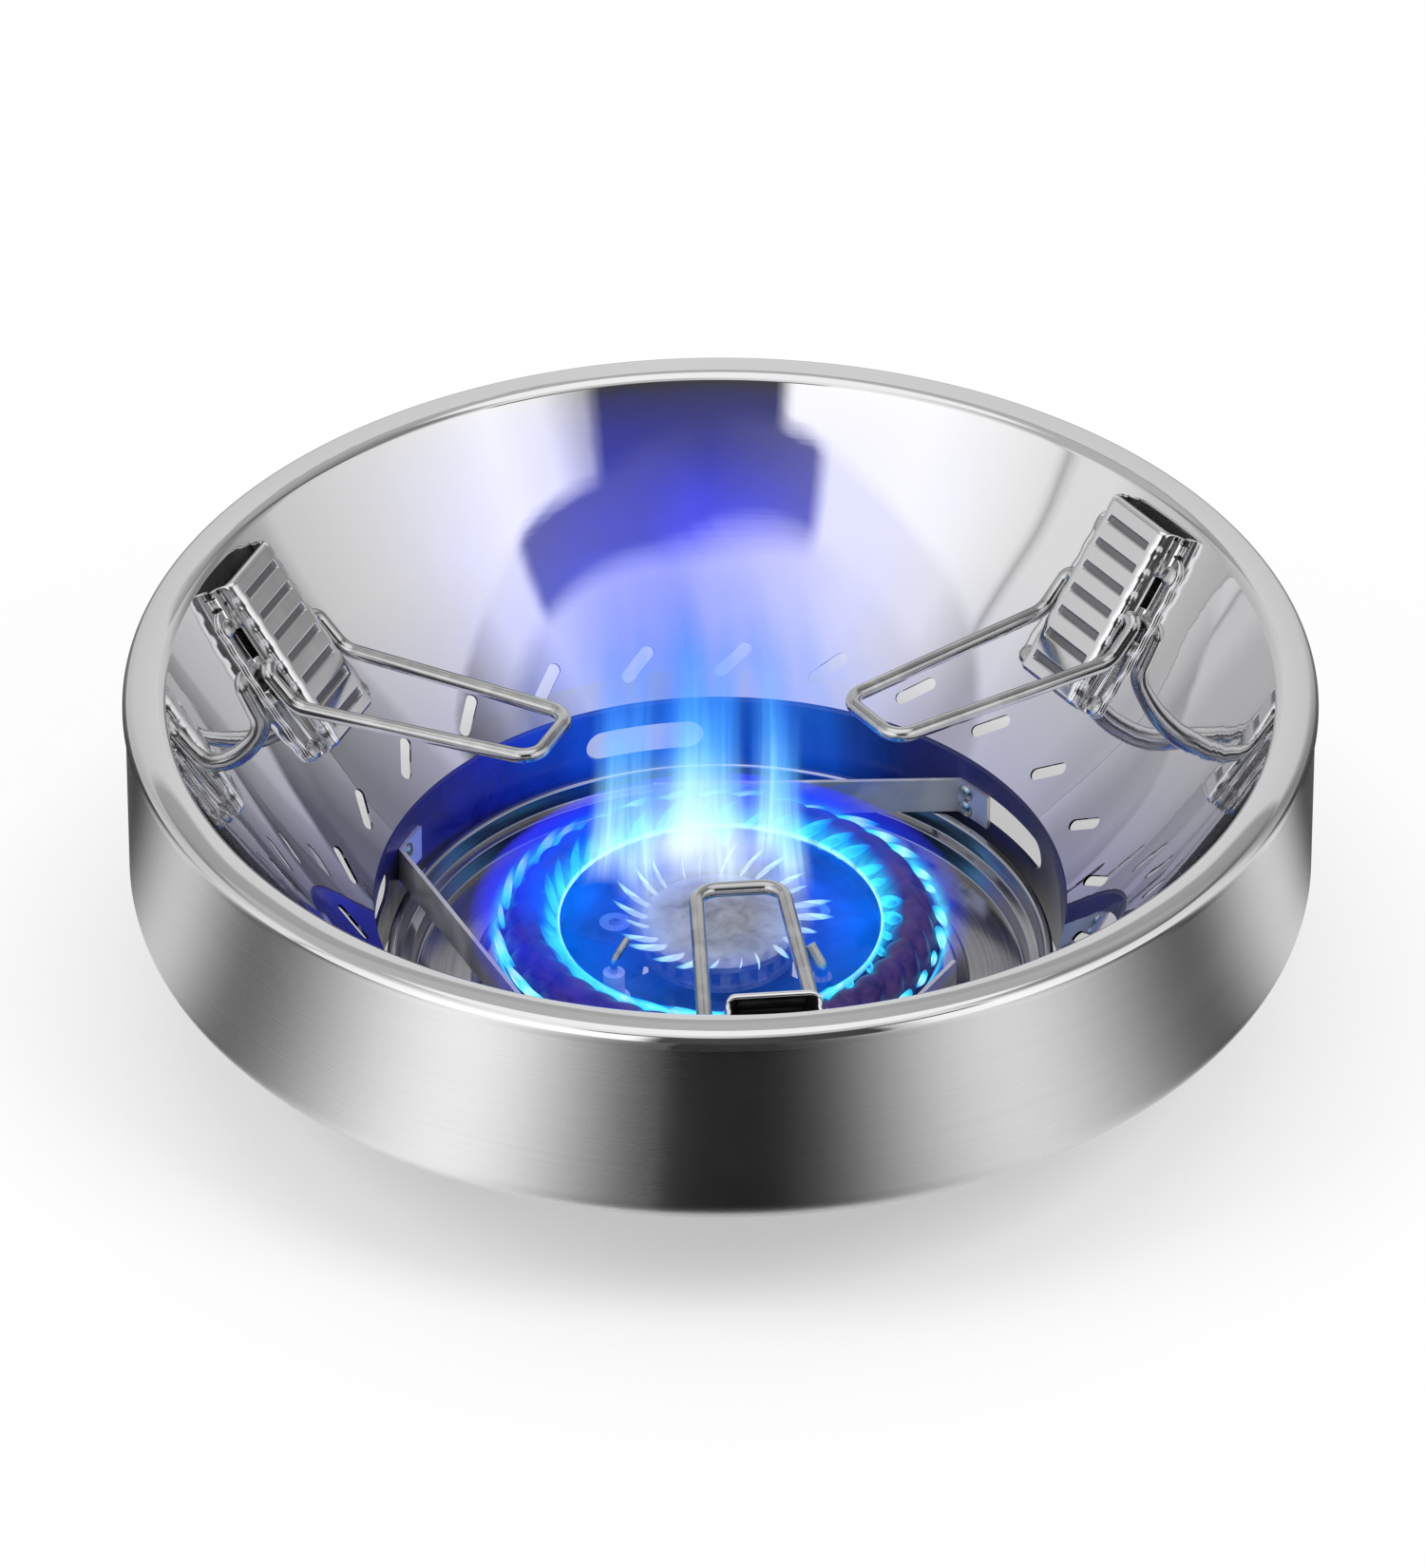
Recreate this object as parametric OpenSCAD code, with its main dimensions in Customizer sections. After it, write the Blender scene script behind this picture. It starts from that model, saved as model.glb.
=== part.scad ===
// Round tabletop stove: a polished reflector drum with three folding pot loops,
// standing round a twin ring burner in its drip tray.
// Millimetres, +Z up, origin on the table at the middle of the drum.

/* [Drum] */
// Outside diameter of the rolled rim
drum_d = 270; // [255:1:300]
// Height of the drum, from its hem to the top of the rim
drum_h = 54; // [50:1:60]
// Height of the drum's hem above the table
stand_h = 32; // [31:0.5:36]
// Thickness of the sheet that the band and the bowl are spun from
sheet = 0.6; // [0.5:0.1:0.8]
// Width of the flat rim, with its lip
rim_w = 8.8; // [7:0.2:11]
// Radius of the rim's outer lip
lip_r = 2.4; // [1.6:0.1:3]
// How far the lip folds down over the band
lip_drop = 4; // [3.5:0.5:7]
// Radius of the fold between the rim and the bowl
fold_r = 1.5; // [1:0.1:2]
// Radius of the band's rolled hem
hem_r = 8; // [4:0.5:10]
// Width of the flange that the hem turns in
hem_in = 6; // [3:0.5:10]

/* [Reflector bowl] */
// Diameter of the bowl's lower edge
throat_d = 158.2; // [157:0.2:164]
// How far the bowl's lower edge hangs below the drum's hem
throat_drop = 5.2; // [3:0.2:7]
// Belly of the wall, off the straight line from throat to rim
belly = 2.5; // [1.5:0.1:3.5]
// Number of vent slots round the throat
slot_count = 24; // [12:1:28]
// Length of a vent slot
slot_len = 10.5; // [8:0.5:12]
// Width of a vent slot
slot_w = 3; // [2:0.1:4]
// Lean of the vent slots from the level
slot_lean = 44; // [30:1:60]
// Distance of the slots' middles up the wall from the throat
slot_up = 9; // [7.5:0.5:12]
// Compass angle of the first slot
slot_turn = 13; // [0:1:15]

/* [Collar] */
// Thickness of the collar's sheet
collar_sheet = 0.8; // [0.6:0.1:1]
// Width of the flange that holds the bowl
collar_flange = 3.2; // [2:0.2:4]
// Width of the collar's turned out foot
foot_w = 3; // [2:0.5:6]
// Number of air vents in the collar
vent_count = 5; // [3:1:6]
// Length of an air vent
vent_len = 28; // [20:1:29]
// Height of an air vent
vent_h = 7.8; // [5:0.2:9]
// Height of the vents' middles above the table
vent_z = 16.3; // [13:0.1:18]
// Compass angle of the first vent
vent_turn = 31; // [28:1:32]

/* [Centring straps] */
// Height of a strap
strap_h = 8.8; // [7:0.2:9]
// Thickness of a strap
strap_t = 1; // [0.8:0.1:1.2]
// Gap between the straps and the burner's side
strap_gap = 2.3; // [1.5:0.1:3]
// Length of the tab that is riveted to the collar
strap_tab = 10; // [8:0.5:12]
// How far a strap runs on past the burner's side
strap_tail = 14; // [5:1:20]

/* [Pot supports] */
// Compass angle of the first support
support_turn = 35.6; // [30:0.1:40]
// Distance of a bracket's lower end up the wall from the throat
bracket_up = 24.2; // [22:0.5:26]
// Height of a bracket's face over the wall's straight line, at its lower end
bracket_stand = 3.6; // [3.2:0.1:4.2]
// Tilt of a bracket's face from the wall's straight line
bracket_tilt = 3.2; // [2.6:0.1:3.6]
// Length of a bracket
bracket_len = 46.3; // [43:0.1:46.5]
// Width of a bracket's channel
bracket_w = 20.8; // [19:0.2:21]
// Thickness of a bracket's sheet
bracket_sheet = 1.2; // [1:0.1:1.3]
// Radius of a bracket's shoulders
shoulder_r = 2.2; // [1.6:0.1:2.6]
// Width of a bracket's side flange
flange_w = 4.8; // [4.4:0.2:6]
// Thickness of a bracket's side flange
flange_t = 0.8; // [0.6:0.1:1]
// Number of grooves across a bracket's face
groove_count = 7; // [4:1:7]
// Pitch of the grooves
groove_pitch = 6; // [5:0.1:6.2]
// Length of a groove
groove_len = 14.5; // [10:0.5:15.5]
// Width of a groove
groove_w = 1.8; // [1:0.1:2.4]
// Depth of a groove
groove_depth = 0.5; // [0.3:0.05:0.6]

/* [Pot loops] */
// Diameter of the loop wire
wire_d = 3.5; // [3:0.1:3.7]
// Distance of the pivot up a bracket's face from its lower end
pivot_up = 24.6; // [22:0.2:26]
// Depth of the pivot below a bracket's face
pivot_deep = 3.2; // [3.1:0.05:3.5]
// Radial clearance of the wire in its pivot holes
pivot_fit = 0.05; // [0.03:0.01:0.08]
// Length of the short arm from the pivot to the bend
arm_len = 11; // [10:0.5:13]
// Slope of the short arm
arm_slope = 47; // [44:1:50]
// Distance of the loop's inner end from the middle of the drum
loop_end_r = 42; // [36:1:50]
// Rise of the loop from its bend to its inner end
loop_rise = 0.6; // [0:0.2:3]
// Width of the loop at its inner end, between wire middles
loop_end_w = 19.4; // [14:0.2:24]
// Gap between the loop's arms and a bracket's sides
loop_gap = 0.75; // [0.5:0.05:1]

/* [Drip tray] */
// Diameter of the tray
tray_d = 152.4; // [150:0.2:154]
// Height of the tray's rim
tray_h = 11; // [10:0.5:12]
// Thickness of the tray's sheet
tray_sheet = 0.6; // [0.5:0.1:0.8]
// Height of the tray's ledge
ledge_z = 7.2; // [6.5:0.1:8]
// Height of the tray's floor
floor_z = 3.2; // [2.4:0.1:3.6]
// Height of the platform under the burner
platform_z = 4.4; // [4:0.1:5]

/* [Burner] */
// Outside diameter of the burner's body
burner_d = 102; // [98:0.5:103]
// Width of the burner's outer ring, from its outside to its inside
ring_w = 14.4; // [13:0.2:16]
// Thickness of the cast walls
cast_wall = 2.4; // [2:0.1:2.8]
// Thickness of the cast floor
cast_floor = 2.2; // [1.8:0.1:2.6]
// Height of the outer ring's walls
ring_h = 10; // [9:0.5:11]
// Diameter of the inner ring's body
hub_d = 33; // [31:0.5:35]
// Height of the inner ring's walls
hub_h = 7; // [6:0.5:8]
// Width of the arms that join the two rings
arm_w = 10; // [8:0.5:12]
// Height of the arms
arm_h = 4; // [3:0.2:5]
// Number of flame slots on each edge of the outer crown
crown_slots = 36; // [24:2:40]
// Height of the outer crown's edges above its seat
crown_edge = 5; // [4:0.5:7]
// Height of the outer crown's crest above its seat
crown_h = 8; // [7.5:0.5:10]
// How far the crown's skirt reaches down into its channel
skirt_h = 4; // [3:0.5:5]
// Number of flame slots round the inner head
head_slots = 24; // [16:2:28]
// Height of the inner head's slotted ring
head_h = 4.5; // [3:0.5:6]
// Diameter of the inner cap
cap_d = 36.8; // [35:0.2:40]
// Height of the inner cap
cap_h = 3.5; // [2.5:0.5:5]
// Clearance of the lift off pieces in their channels
lift_fit = 0.4; // [0.3:0.05:0.5]

/* [Feeds and rods] */
// Inside diameter of a feed nipple's inlet
feed_bore_d = 6; // [5:0.5:7]
// Outside diameter of a feed nipple
feed_d = 9; // [8:0.5:9]
// Width across the corners of a nipple's hexagon
feed_hex = 13; // [12:0.5:14]
// Diameter of a nipple's jet
jet_d = 1.2; // [0.8:0.1:1.6]
// How far the igniter and the flame sensor stand out from the screws' circle
rod_out = 3; // [1:0.5:4]
// Diameter of the igniter's ceramic and of the sensor's sheath
rod_d = 5; // [4:0.2:5.4]
// Height of the ceramic's and the sheath's top
rod_top = 17.5; // [16:0.5:19]
// Diameter of the igniter's electrode
electrode_d = 1.8; // [1.2:0.1:2.2]
// Diameter of the flame sensor's tip
sensor_d = 3; // [2.4:0.1:3.4]
// Diameter of the screws that hold the burner to the tray
screw_d = 4; // [3:0.5:4]

/* [Hidden] */
$fn = 96;

// Seat between pieces that lie on each other, and the reach of a cut past a face
seat = 0.05;
cut = 1;

// Drum heights and radii
drum_r = drum_d / 2;
rim_z = stand_h + drum_h;
throat = [throat_d / 2, stand_h - throat_drop];
rim_edge = [drum_r - rim_w, rim_z];
band_r = drum_r - sheet - seat;

// The bowl's wall is an arc over the line from its throat to its rim
chord = rim_edge - throat;
chord_len = norm(chord);
chord_slope = atan2(chord.y, chord.x);
along = chord / chord_len;
inward = [-along.y, along.x];
bow_r = (pow(chord_len / 2, 2) + pow(belly, 2)) / (2 * belly);
bow_half = asin(chord_len / 2 / bow_r);
bow_mid = throat + chord / 2 + inward * (bow_r - belly);
wall_bands = 5;

// Three supports, and three straps whose bends were set by eye
support_az = [for (i = [0:2]) support_turn + 120 * i];
strap_az = [45, 159.5, 282];

// Collar radii and the straps' seat on its inner wall
collar_inset = 0.2;
collar_in_r = throat.x - collar_inset;
collar_out_r = collar_in_r + collar_sheet;
strap_r = collar_in_r - seat - strap_t / 2;
strap_lift = 0.4;
strap_z = tray_h + strap_lift;
strap_reach = burner_d / 2 + strap_gap + strap_t / 2;
strap_rivet_r = 1.25;
strap_rivet_in = 2.6;
strap_rivet_over = 0.8;
strap_rivet_head = strap_rivet_r + strap_rivet_over;

// Bracket face, pivot and loop corners, each as [radius, height]
face_slope = chord_slope + bracket_tilt;
face_low = throat + along * bracket_up + inward * bracket_stand;
up_face = polar(1, face_slope);
off_face = [-up_face.y, up_face.x];
wire_r = wire_d / 2;
pivot = face_low + up_face * pivot_up - off_face * pivot_deep;
bend = pivot - polar(arm_len, arm_slope);
loop_end = [loop_end_r, bend.y + loop_rise];
loop_half = bracket_w / 2 + loop_gap + wire_r;
pin_past = 1.6;
pin_in = bracket_w / 2 - bracket_sheet - pin_past;
hook_r = wire_d * 0.63;
bend_r = 6;
corner_r = 5;
bracket_deep = 11;
scallop_r = 2;
scallop_in = 0.6;
stop_gap = 0.3;
stop_down = 6.1;
stop_up = pivot_up - stop_down;
stop_len = 4;
rivet_r = 1.25;
rivet_head = 2.3;
rivet_low = 3.4;
rivet_high = 38;
rivet_ups = [rivet_low, rivet_high];
flange_low = 0.6;
flange_high = 42;

// Burner heights and radii
gasket_t = 0.6;
base_z = platform_z + gasket_t;
burner_r = burner_d / 2;
ring_r = burner_r - ring_w;
channel_in = ring_r + cast_wall;
channel_out = burner_r - cast_wall;
ring_top = base_z + ring_h;
hub_r = hub_d / 2;
hub_top = base_z + hub_h;
head_skirt_w = 3.6;
head_skirt_h = 3;
head_in = hub_r - cast_wall - head_skirt_w;
head_over = 1;
head_out = hub_r + head_over;
head_flange = 1.5;
head_top = hub_top + head_flange + head_h;
screw_az = support_az;
rod_az = [215, 321];
join_r = (hub_r + ring_r) / 2;
rod_r = join_r + rod_out;
gasket_half = 7;
tray_r = tray_d / 2;
platform_ease = 3;
platform_r = burner_r + platform_ease;
gasket_land = 1.5;
tray_hole_r = join_r - gasket_half - gasket_land;
feed_r = (channel_in + channel_out) / 2;
feed_az = 95;
feed_low = 0.5;
hex_h = 2.3;
feed_room = 1;
screw_head_h = 2.4;
screw_past = 0.6;
nut_h = 2.2;
tooth_deep = 2.4;
skirt_t = 1.6;
rod_low = 2;
rod_collar_w = 1.2;
rod_collar_d = rod_d + 2 * rod_collar_w;
rod_collar_h = 1.8;
pin_rise = 3;
electrode_reach = 4;
sensor_reach = 3.5;
dome_h = 1;

function unit(v) = v / norm(v);
function polar(r, a) = r * [cos(a), sin(a)];
function right_of(v) = [v.y, -v.x];
function flip(p) = [for (i = [len(p) - 1:-1:0]) p[i]];
function angle_of(v) = atan2(v.y, v.x);
function turn_between(a, b) = let (d = b - a) d > 180 ? d - 360 : d < -180 ? d + 360 : d;

// Path moved sideways by d, to the right of its run where d is positive
function beside(p, d) = [
    for (i = [0:len(p) - 1])
        let (last = len(p) - 1)
        let (n1 = right_of(unit(p[max(i, 1)] - p[max(i - 1, 0)])))
        let (n2 = right_of(unit(p[min(i + 1, last)] - p[min(i, last - 1)])))
        p[i] + d * (n1 + n2) / (1 + n1 * n2)
];

// Cross section of a sheet of thickness t that follows a path
function sheet_of(p, t) = concat(p, flip(beside(p, t)));

// Points of a fillet of radius r at the corner c between a and b
function fillet(a, c, b, r, n = 5) =
    let (d1 = unit(a - c), d2 = unit(b - c))
    let (half = acos(d1 * d2) / 2)
    let (o = c + unit(d1 + d2) * r / sin(half))
    let (a1 = angle_of(c + d1 * r / tan(half) - o), a2 = angle_of(c + d2 * r / tan(half) - o))
    let (step = turn_between(a1, a2) / n)
    [for (k = [0:n]) o + polar(r, a1 + step * k)];

// Point and slope of the bowl's wall, at t from 0 at the throat to 1 at the rim
function wall_at(t) = bow_mid + polar(bow_r, chord_slope - 90 + bow_half * (2 * t - 1));
function wall_slope(t) = chord_slope + bow_half * (2 * t - 1);
wall = [for (i = [0:wall_bands]) wall_at(i / wall_bands)];

// Frame on a sloping face: x to the right, y up the slope, z off the face
function slope_frame(p, a) = [
    [0, cos(a), -sin(a), p.x],
    [-1, 0, 0, 0],
    [0, sin(a), cos(a), p.y],
    [0, 0, 0, 1]
];

// Outline of a ring edge with n teeth, from the root radius out to the tip radius
function toothed(n, tip, root, share = 0.55) = [
    for (i = [0:n - 1], q = [[0, root], [0, tip], [share, tip], [share, root]])
        polar(q[1], (i + q[0]) * 360 / n)
];

module lathe(p) { rotate_extrude() polygon(p); }

module at_az(a, r = 0, z = 0) { rotate([0, 0, a]) translate([r, 0, z]) children(); }

module on_wall(t) { multmatrix(slope_frame(wall_at(t), wall_slope(t))) children(); }

module on_face() { multmatrix(slope_frame(face_low, face_slope)) children(); }

// Long hole with round ends, along x, cut through along z
module long_hole(length, width, deep) {
    straight = length - width;
    translate([-straight / 2, -width / 2, -deep / 2]) cube([straight, width, deep]);
    for (s = [-1, 1]) translate([s * straight / 2, 0, -deep / 2]) cylinder(d = width, h = deep);
}

// Rivet along z with a low domed head on each side of the stack from z1 to z2
module rivet(shank, head, z1, z2) {
    dome = [[0, 0], [head, 0], [head, 0.35 * dome_h], [head * 0.62, 0.85 * dome_h], [0, dome_h]];
    translate([0, 0, z1]) cylinder(r = shank, h = z2 - z1);
    translate([0, 0, z2]) lathe(dome);
    translate([0, 0, z1]) mirror([0, 0, 1]) lathe(dome);
}

// Round wire through a list of points, with a bend of its own radius at each inner point.
// A bend swells a little over the straight runs, which reach a short way into it.
module wire(p, bends, r) {
    last = len(p) - 1;
    swell = 0.02;
    lap = 0.2;
    runs = [for (i = [0:last - 1]) unit(p[i + 1] - p[i])];
    turns = [for (i = [1:last - 1]) acos(runs[i - 1] * runs[i])];
    trims = [for (i = [0:last]) i == 0 || i == last ? 0 : bends[i - 1] * tan(turns[i - 1] / 2)];
    for (i = [0:last - 1]) {
        before = i == 0 ? 0 : lap;
        after = i == last - 1 ? 0 : lap;
        start = p[i] + runs[i] * (trims[i] - before);
        length = norm(p[i + 1] - p[i]) - trims[i] - trims[i + 1] + before + after;
        side = unit(cross(abs(runs[i].z) < 0.9 ? [0, 0, 1] : [1, 0, 0], runs[i]));
        up = cross(runs[i], side);
        multmatrix([for (k = [0:2]) [side[k], up[k], runs[i][k], start[k]]]) cylinder(r = r, h = length);
    }
    for (i = [1:last - 1]) {
        d1 = runs[i - 1];
        d2 = runs[i];
        to_mid = unit(d2 - d1 * (d1 * d2));
        mid = p[i] - d1 * trims[i] + to_mid * bends[i - 1];
        axis = cross(-to_mid, d1);
        multmatrix([for (k = [0:2]) [-to_mid[k], d1[k], axis[k], mid[k]]])
            rotate_extrude(angle = turns[i - 1]) translate([bends[i - 1], 0])
                circle(r = r + swell, $fn = 32);
    }
}

// Brushed band round the drum, tucked under the rim's lip, with a rolled hem
module outer_band() {
    top = [band_r, rim_z - lip_r - seat];
    corner = [band_r, stand_h];
    inner = [band_r - hem_r - hem_in, stand_h];
    color("silver") lathe(sheet_of(concat([top], fillet(top, corner, inner, hem_r), [inner]), sheet));
}

// Mirror polished bowl, with its flat rim and folded lip, and the slots above the throat
module reflector_bowl() {
    lip_corner = [drum_r, rim_z];
    lip_end = [drum_r, rim_z - lip_drop];
    path = concat(
        [for (i = [0:wall_bands - 1]) wall[i]],
        fillet(wall[wall_bands - 1], rim_edge, lip_corner, fold_r),
        fillet(rim_edge, lip_corner, lip_end, lip_r),
        [lip_end]
    );
    color("gainsboro") difference() {
        lathe(sheet_of(path, sheet));
        for (k = [0:slot_count - 1])
            at_az(slot_turn + k * 360 / slot_count) on_wall(slot_up / chord_len)
                rotate([0, 0, slot_lean]) long_hole(slot_len, slot_w, 2 * cut + 2 * sheet);
        each_bracket_rivet() cylinder(r = rivet_r + seat, h = 2 * cut + 2 * sheet, center = true);
    }
}

// Dark collar that carries the bowl and stands on the table, with long air vents
module lower_collar() {
    lean = polar(1, wall_slope(0));
    under = throat + right_of(lean) * (sheet + seat);
    corner = [collar_in_r, under.y - (under.x - collar_in_r) * lean.y / lean.x];
    foot = [collar_out_r + foot_w, 0];
    heel = [collar_in_r, 0];
    path = [corner + lean * collar_flange, corner, heel];
    color("dimgray") difference() {
        union() {
            lathe(sheet_of(path, -collar_sheet));
            lathe([heel, foot, foot + [0, collar_sheet], [collar_in_r, collar_sheet]]);
        }
        for (k = [0:vent_count - 1])
            at_az(vent_turn + k * 360 / vent_count, collar_in_r, vent_z) rotate([90, 0, 90])
                long_hole(vent_len, vent_h, 4 * cut + 8 * collar_sheet);
        each_strap_rivet() cylinder(r = strap_rivet_r + seat, h = 6 * cut, center = true);
    }
}

// Each strap rivet's place, with z pointing out through the collar
module each_strap_rivet() {
    for (a = strap_az, s = [-1, 1])
        at_az(a - strap_rivet_in / strap_r * 180 / PI, strap_r, strap_z + strap_h / 2 + s * strap_h / 4)
            rotate([0, 90, 0]) children();
}

// Strap on edge: a tab on the collar, then a straight run past the burner's side
module centring_strap(a) {
    tangent = acos(strap_reach / strap_r);
    run = strap_r * sin(tangent) + strap_tail;
    tab_turn = strap_tab / strap_r * 180 / PI;
    tab_steps = 6;
    strip = concat(
        [for (k = [tab_steps:-1:0]) polar(strap_r, a - tab_turn * k / tab_steps)],
        [polar(strap_r, a) + polar(run, a + 90 + tangent)]
    );
    color("lightsteelblue") difference() {
        translate([0, 0, strap_z]) linear_extrude(strap_h)
            polygon(sheet_of(beside(strip, -strap_t / 2), strap_t));
        each_strap_rivet() cylinder(r = strap_rivet_r + seat, h = 6 * cut, center = true);
    }
}

module strap_rivets() {
    color("silver") each_strap_rivet()
        rivet(strap_rivet_r, strap_rivet_head, -strap_t / 2 - seat, strap_t / 2 + 3 * seat + collar_sheet);
}

// Each bracket rivet's place, with z off the bowl's wall
module each_bracket_rivet() {
    for (a = support_az, up = rivet_ups, s = [-1, 1]) {
        t = (bracket_up + up) / chord_len;
        spread = asin((bracket_w / 2 + flange_w / 2) / wall_at(t).x);
        at_az(a + s * spread) on_wall(t) children();
    }
}

// Channel section of a bracket, its face at height 0
module channel_section() {
    half = bracket_w / 2;
    outer = concat(
        [[-half, -bracket_deep]],
        fillet([-half, -bracket_deep], [-half, 0], [half, 0], shoulder_r),
        fillet([-half, 0], [half, 0], [half, -bracket_deep], shoulder_r),
        [[half, -bracket_deep]]
    );
    polygon(sheet_of(outer, bracket_sheet));
}

// Grooved channel with side flanges on the bowl's wall, pivot holes and loop stops
module support_bracket(a) {
    half = bracket_w / 2;
    flange_half = half + flange_w;
    wall_top = beside(wall, -seat);
    outside = concat(
        beside(wall, -seat - flange_t / 2),
        [[drum_r + cut, rim_z], [drum_r + cut, throat.y], [throat.x, throat.y - cut]]
    );
    color("lightgray") at_az(a) difference() {
        union() {
            difference() {
                on_face() {
                    translate([0, bracket_len, 0]) rotate([90, 0, 0])
                        linear_extrude(bracket_len) channel_section();
                    for (s = [-1, 1]) loop_stop(s);
                }
                lathe(outside);
            }
            intersection() {
                lathe(sheet_of(wall_top, -flange_t));
                multmatrix(slope_frame(throat + along * bracket_up, chord_slope))
                    flange_area(half, flange_half);
            }
        }
        on_face() {
            for (k = [0:groove_count - 1]) groove(bracket_len - groove_pitch * (k + 0.9));
            translate([0, pivot_up, -pivot_deep]) rotate([0, 90, 0])
                cylinder(r = wire_r + pivot_fit, h = bracket_w + 2 * cut, center = true);
        }
        rotate([0, 0, -a]) each_bracket_rivet() cylinder(r = rivet_r + seat, h = 6 * cut, center = true);
    }
}

// Ground that the two side flanges cover, just overlapping the channel's sides
module flange_area(inner, outer) {
    for (s = [0, 1]) mirror([s, 0, 0])
        translate([inner - bracket_sheet / 2, flange_low, -bracket_deep])
            cube([outer - inner + bracket_sheet / 2, flange_high - flange_low, 2 * bracket_deep]);
}

// One groove across the face, with the scallops that it leaves in both shoulders
module groove(up) {
    translate([-groove_len / 2, up - groove_w / 2, -groove_depth])
        cube([groove_len, groove_w, cut + groove_depth]);
    for (s = [-1, 1]) translate([s * (bracket_w / 2 + scallop_r - scallop_in), up, -shoulder_r])
        cylinder(r = scallop_r, h = shoulder_r + cut);
}

// Ear on a bracket's side that stops the loop's short arm
module loop_stop(s) {
    lean = face_slope - arm_slope;
    top = -pivot_deep + (pivot_up - stop_up) * tan(lean) - wire_r / cos(lean) - stop_gap;
    width = loop_gap + wire_d + bracket_sheet / 2;
    translate([s * (bracket_w / 2 - bracket_sheet / 2 + width / 2), stop_up, top]) rotate([-lean, 0, 0])
        translate([-width / 2, -stop_len / 2, -bracket_deep]) cube([width, stop_len, bracket_deep]);
}

module bracket_rivets() {
    color("silver") each_bracket_rivet()
        rivet(rivet_r, rivet_head, -sheet - 2 * seat, seat + flange_t + 2 * seat);
}

// Bent wire loop, its hooked ends in the bracket's pivot holes
module pot_loop(a) {
    ends = [for (s = [1, -1]) [
        [pivot.x, s * pin_in, pivot.y],
        [pivot.x, s * loop_half, pivot.y],
        [bend.x, s * loop_half, bend.y],
        [loop_end.x, s * loop_end_w / 2, loop_end.y]
    ]];
    color("gainsboro") at_az(a)
        wire(concat(ends[0], flip(ends[1])), [hook_r, bend_r, corner_r, corner_r, bend_r, hook_r], wire_r);
}

// Stepped tray of satin steel, with a turned in foot and a raised platform
module drip_tray() {
    foot_in = 5;
    rim_flat = 2.2;
    rim_fold = 0.9;
    wall_lean = 0.8;
    ledge_w = 2.4;
    ledge_fall = 0.3;
    rim_out = [tray_r, tray_h];
    rim_in = [tray_r - rim_flat, tray_h];
    ledge = [rim_in.x - wall_lean, ledge_z];
    ledge_in = [ledge.x - ledge_w, ledge_z - ledge_fall];
    floor_out = [ledge_in.x - wall_lean, floor_z];
    floor_in = [platform_r + platform_ease, floor_z];
    path = concat(
        [[tray_r - foot_in, 0], [tray_r, 0]],
        fillet([tray_r, 0], rim_out, rim_in, rim_fold),
        fillet(rim_out, rim_in, ledge, rim_fold),
        [ledge, ledge_in, floor_out, floor_in, [platform_r, platform_z], [tray_hole_r, platform_z]]
    );
    color("lightgray") difference() {
        lathe(sheet_of(path, -tray_sheet));
        at_az(feed_az, feed_r) cylinder(d = feed_hex + 2 * feed_room, h = tray_h);
        base_holes(tray_h);
    }
}

// Screw and rod holes through the tray, the gasket and the burner's arms
module base_holes(h) {
    for (a = screw_az) at_az(a, join_r) cylinder(d = screw_d + 4 * seat, h = h);
    for (a = rod_az) at_az(a, rod_r) cylinder(d = rod_d + 4 * seat, h = h);
}

module base_gasket() {
    color("darkred") difference() {
        translate([0, 0, platform_z]) lathe([
            [join_r - gasket_half, 0], [join_r + gasket_half, 0],
            [join_r + gasket_half, gasket_t], [join_r - gasket_half, gasket_t]
        ]);
        base_holes(base_z + cut);
    }
}

// Cast burner body: an outer and an inner gas channel, joined by arms
module burner_base() {
    color("#2b2b2e") difference() {
        translate([0, 0, base_z]) {
            lathe([
                [ring_r, 0], [burner_r, 0], [burner_r, ring_h], [channel_out, ring_h],
                [channel_out, cast_floor], [channel_in, cast_floor], [channel_in, ring_h], [ring_r, ring_h]
            ]);
            lathe([
                [0, 0], [hub_r, 0], [hub_r, hub_h], [hub_r - cast_wall, hub_h],
                [hub_r - cast_wall, cast_floor], [0, cast_floor]
            ]);
            for (a = concat(screw_az, rod_az)) at_az(a)
                translate([hub_r - cast_wall / 2, -arm_w / 2, 0])
                    cube([ring_r - hub_r + cast_wall, arm_w, arm_h]);
        }
        base_holes(base_z + arm_h + cut);
        translate([0, 0, base_z - cut]) {
            cylinder(d = feed_d + 2 * seat, h = cast_floor + 2 * cut);
            at_az(feed_az, feed_r) cylinder(d = feed_d + 2 * seat, h = cast_floor + 2 * cut);
        }
    }
}

module burner_screws() {
    head_z = base_z + arm_h;
    low = platform_z - tray_sheet - nut_h - screw_past;
    color("silver") for (a = screw_az) at_az(a, join_r) difference() {
        union() {
            translate([0, 0, low]) cylinder(d = screw_d, h = head_z - low + cut);
            translate([0, 0, head_z]) cylinder(d = 1.8 * screw_d, h = screw_head_h);
        }
        translate([0, 0, head_z + screw_head_h / 2]) cylinder(d = 0.8 * screw_d, h = screw_head_h, $fn = 6);
    }
}

module burner_nuts() {
    color("silver") for (a = screw_az) at_az(a, join_r, platform_z - tray_sheet - nut_h) difference() {
        cylinder(d = 1.9 * screw_d, h = nut_h, $fn = 6);
        translate([0, 0, -cut]) cylinder(d = screw_d + 2 * seat, h = nut_h + 2 * cut);
    }
}

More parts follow.
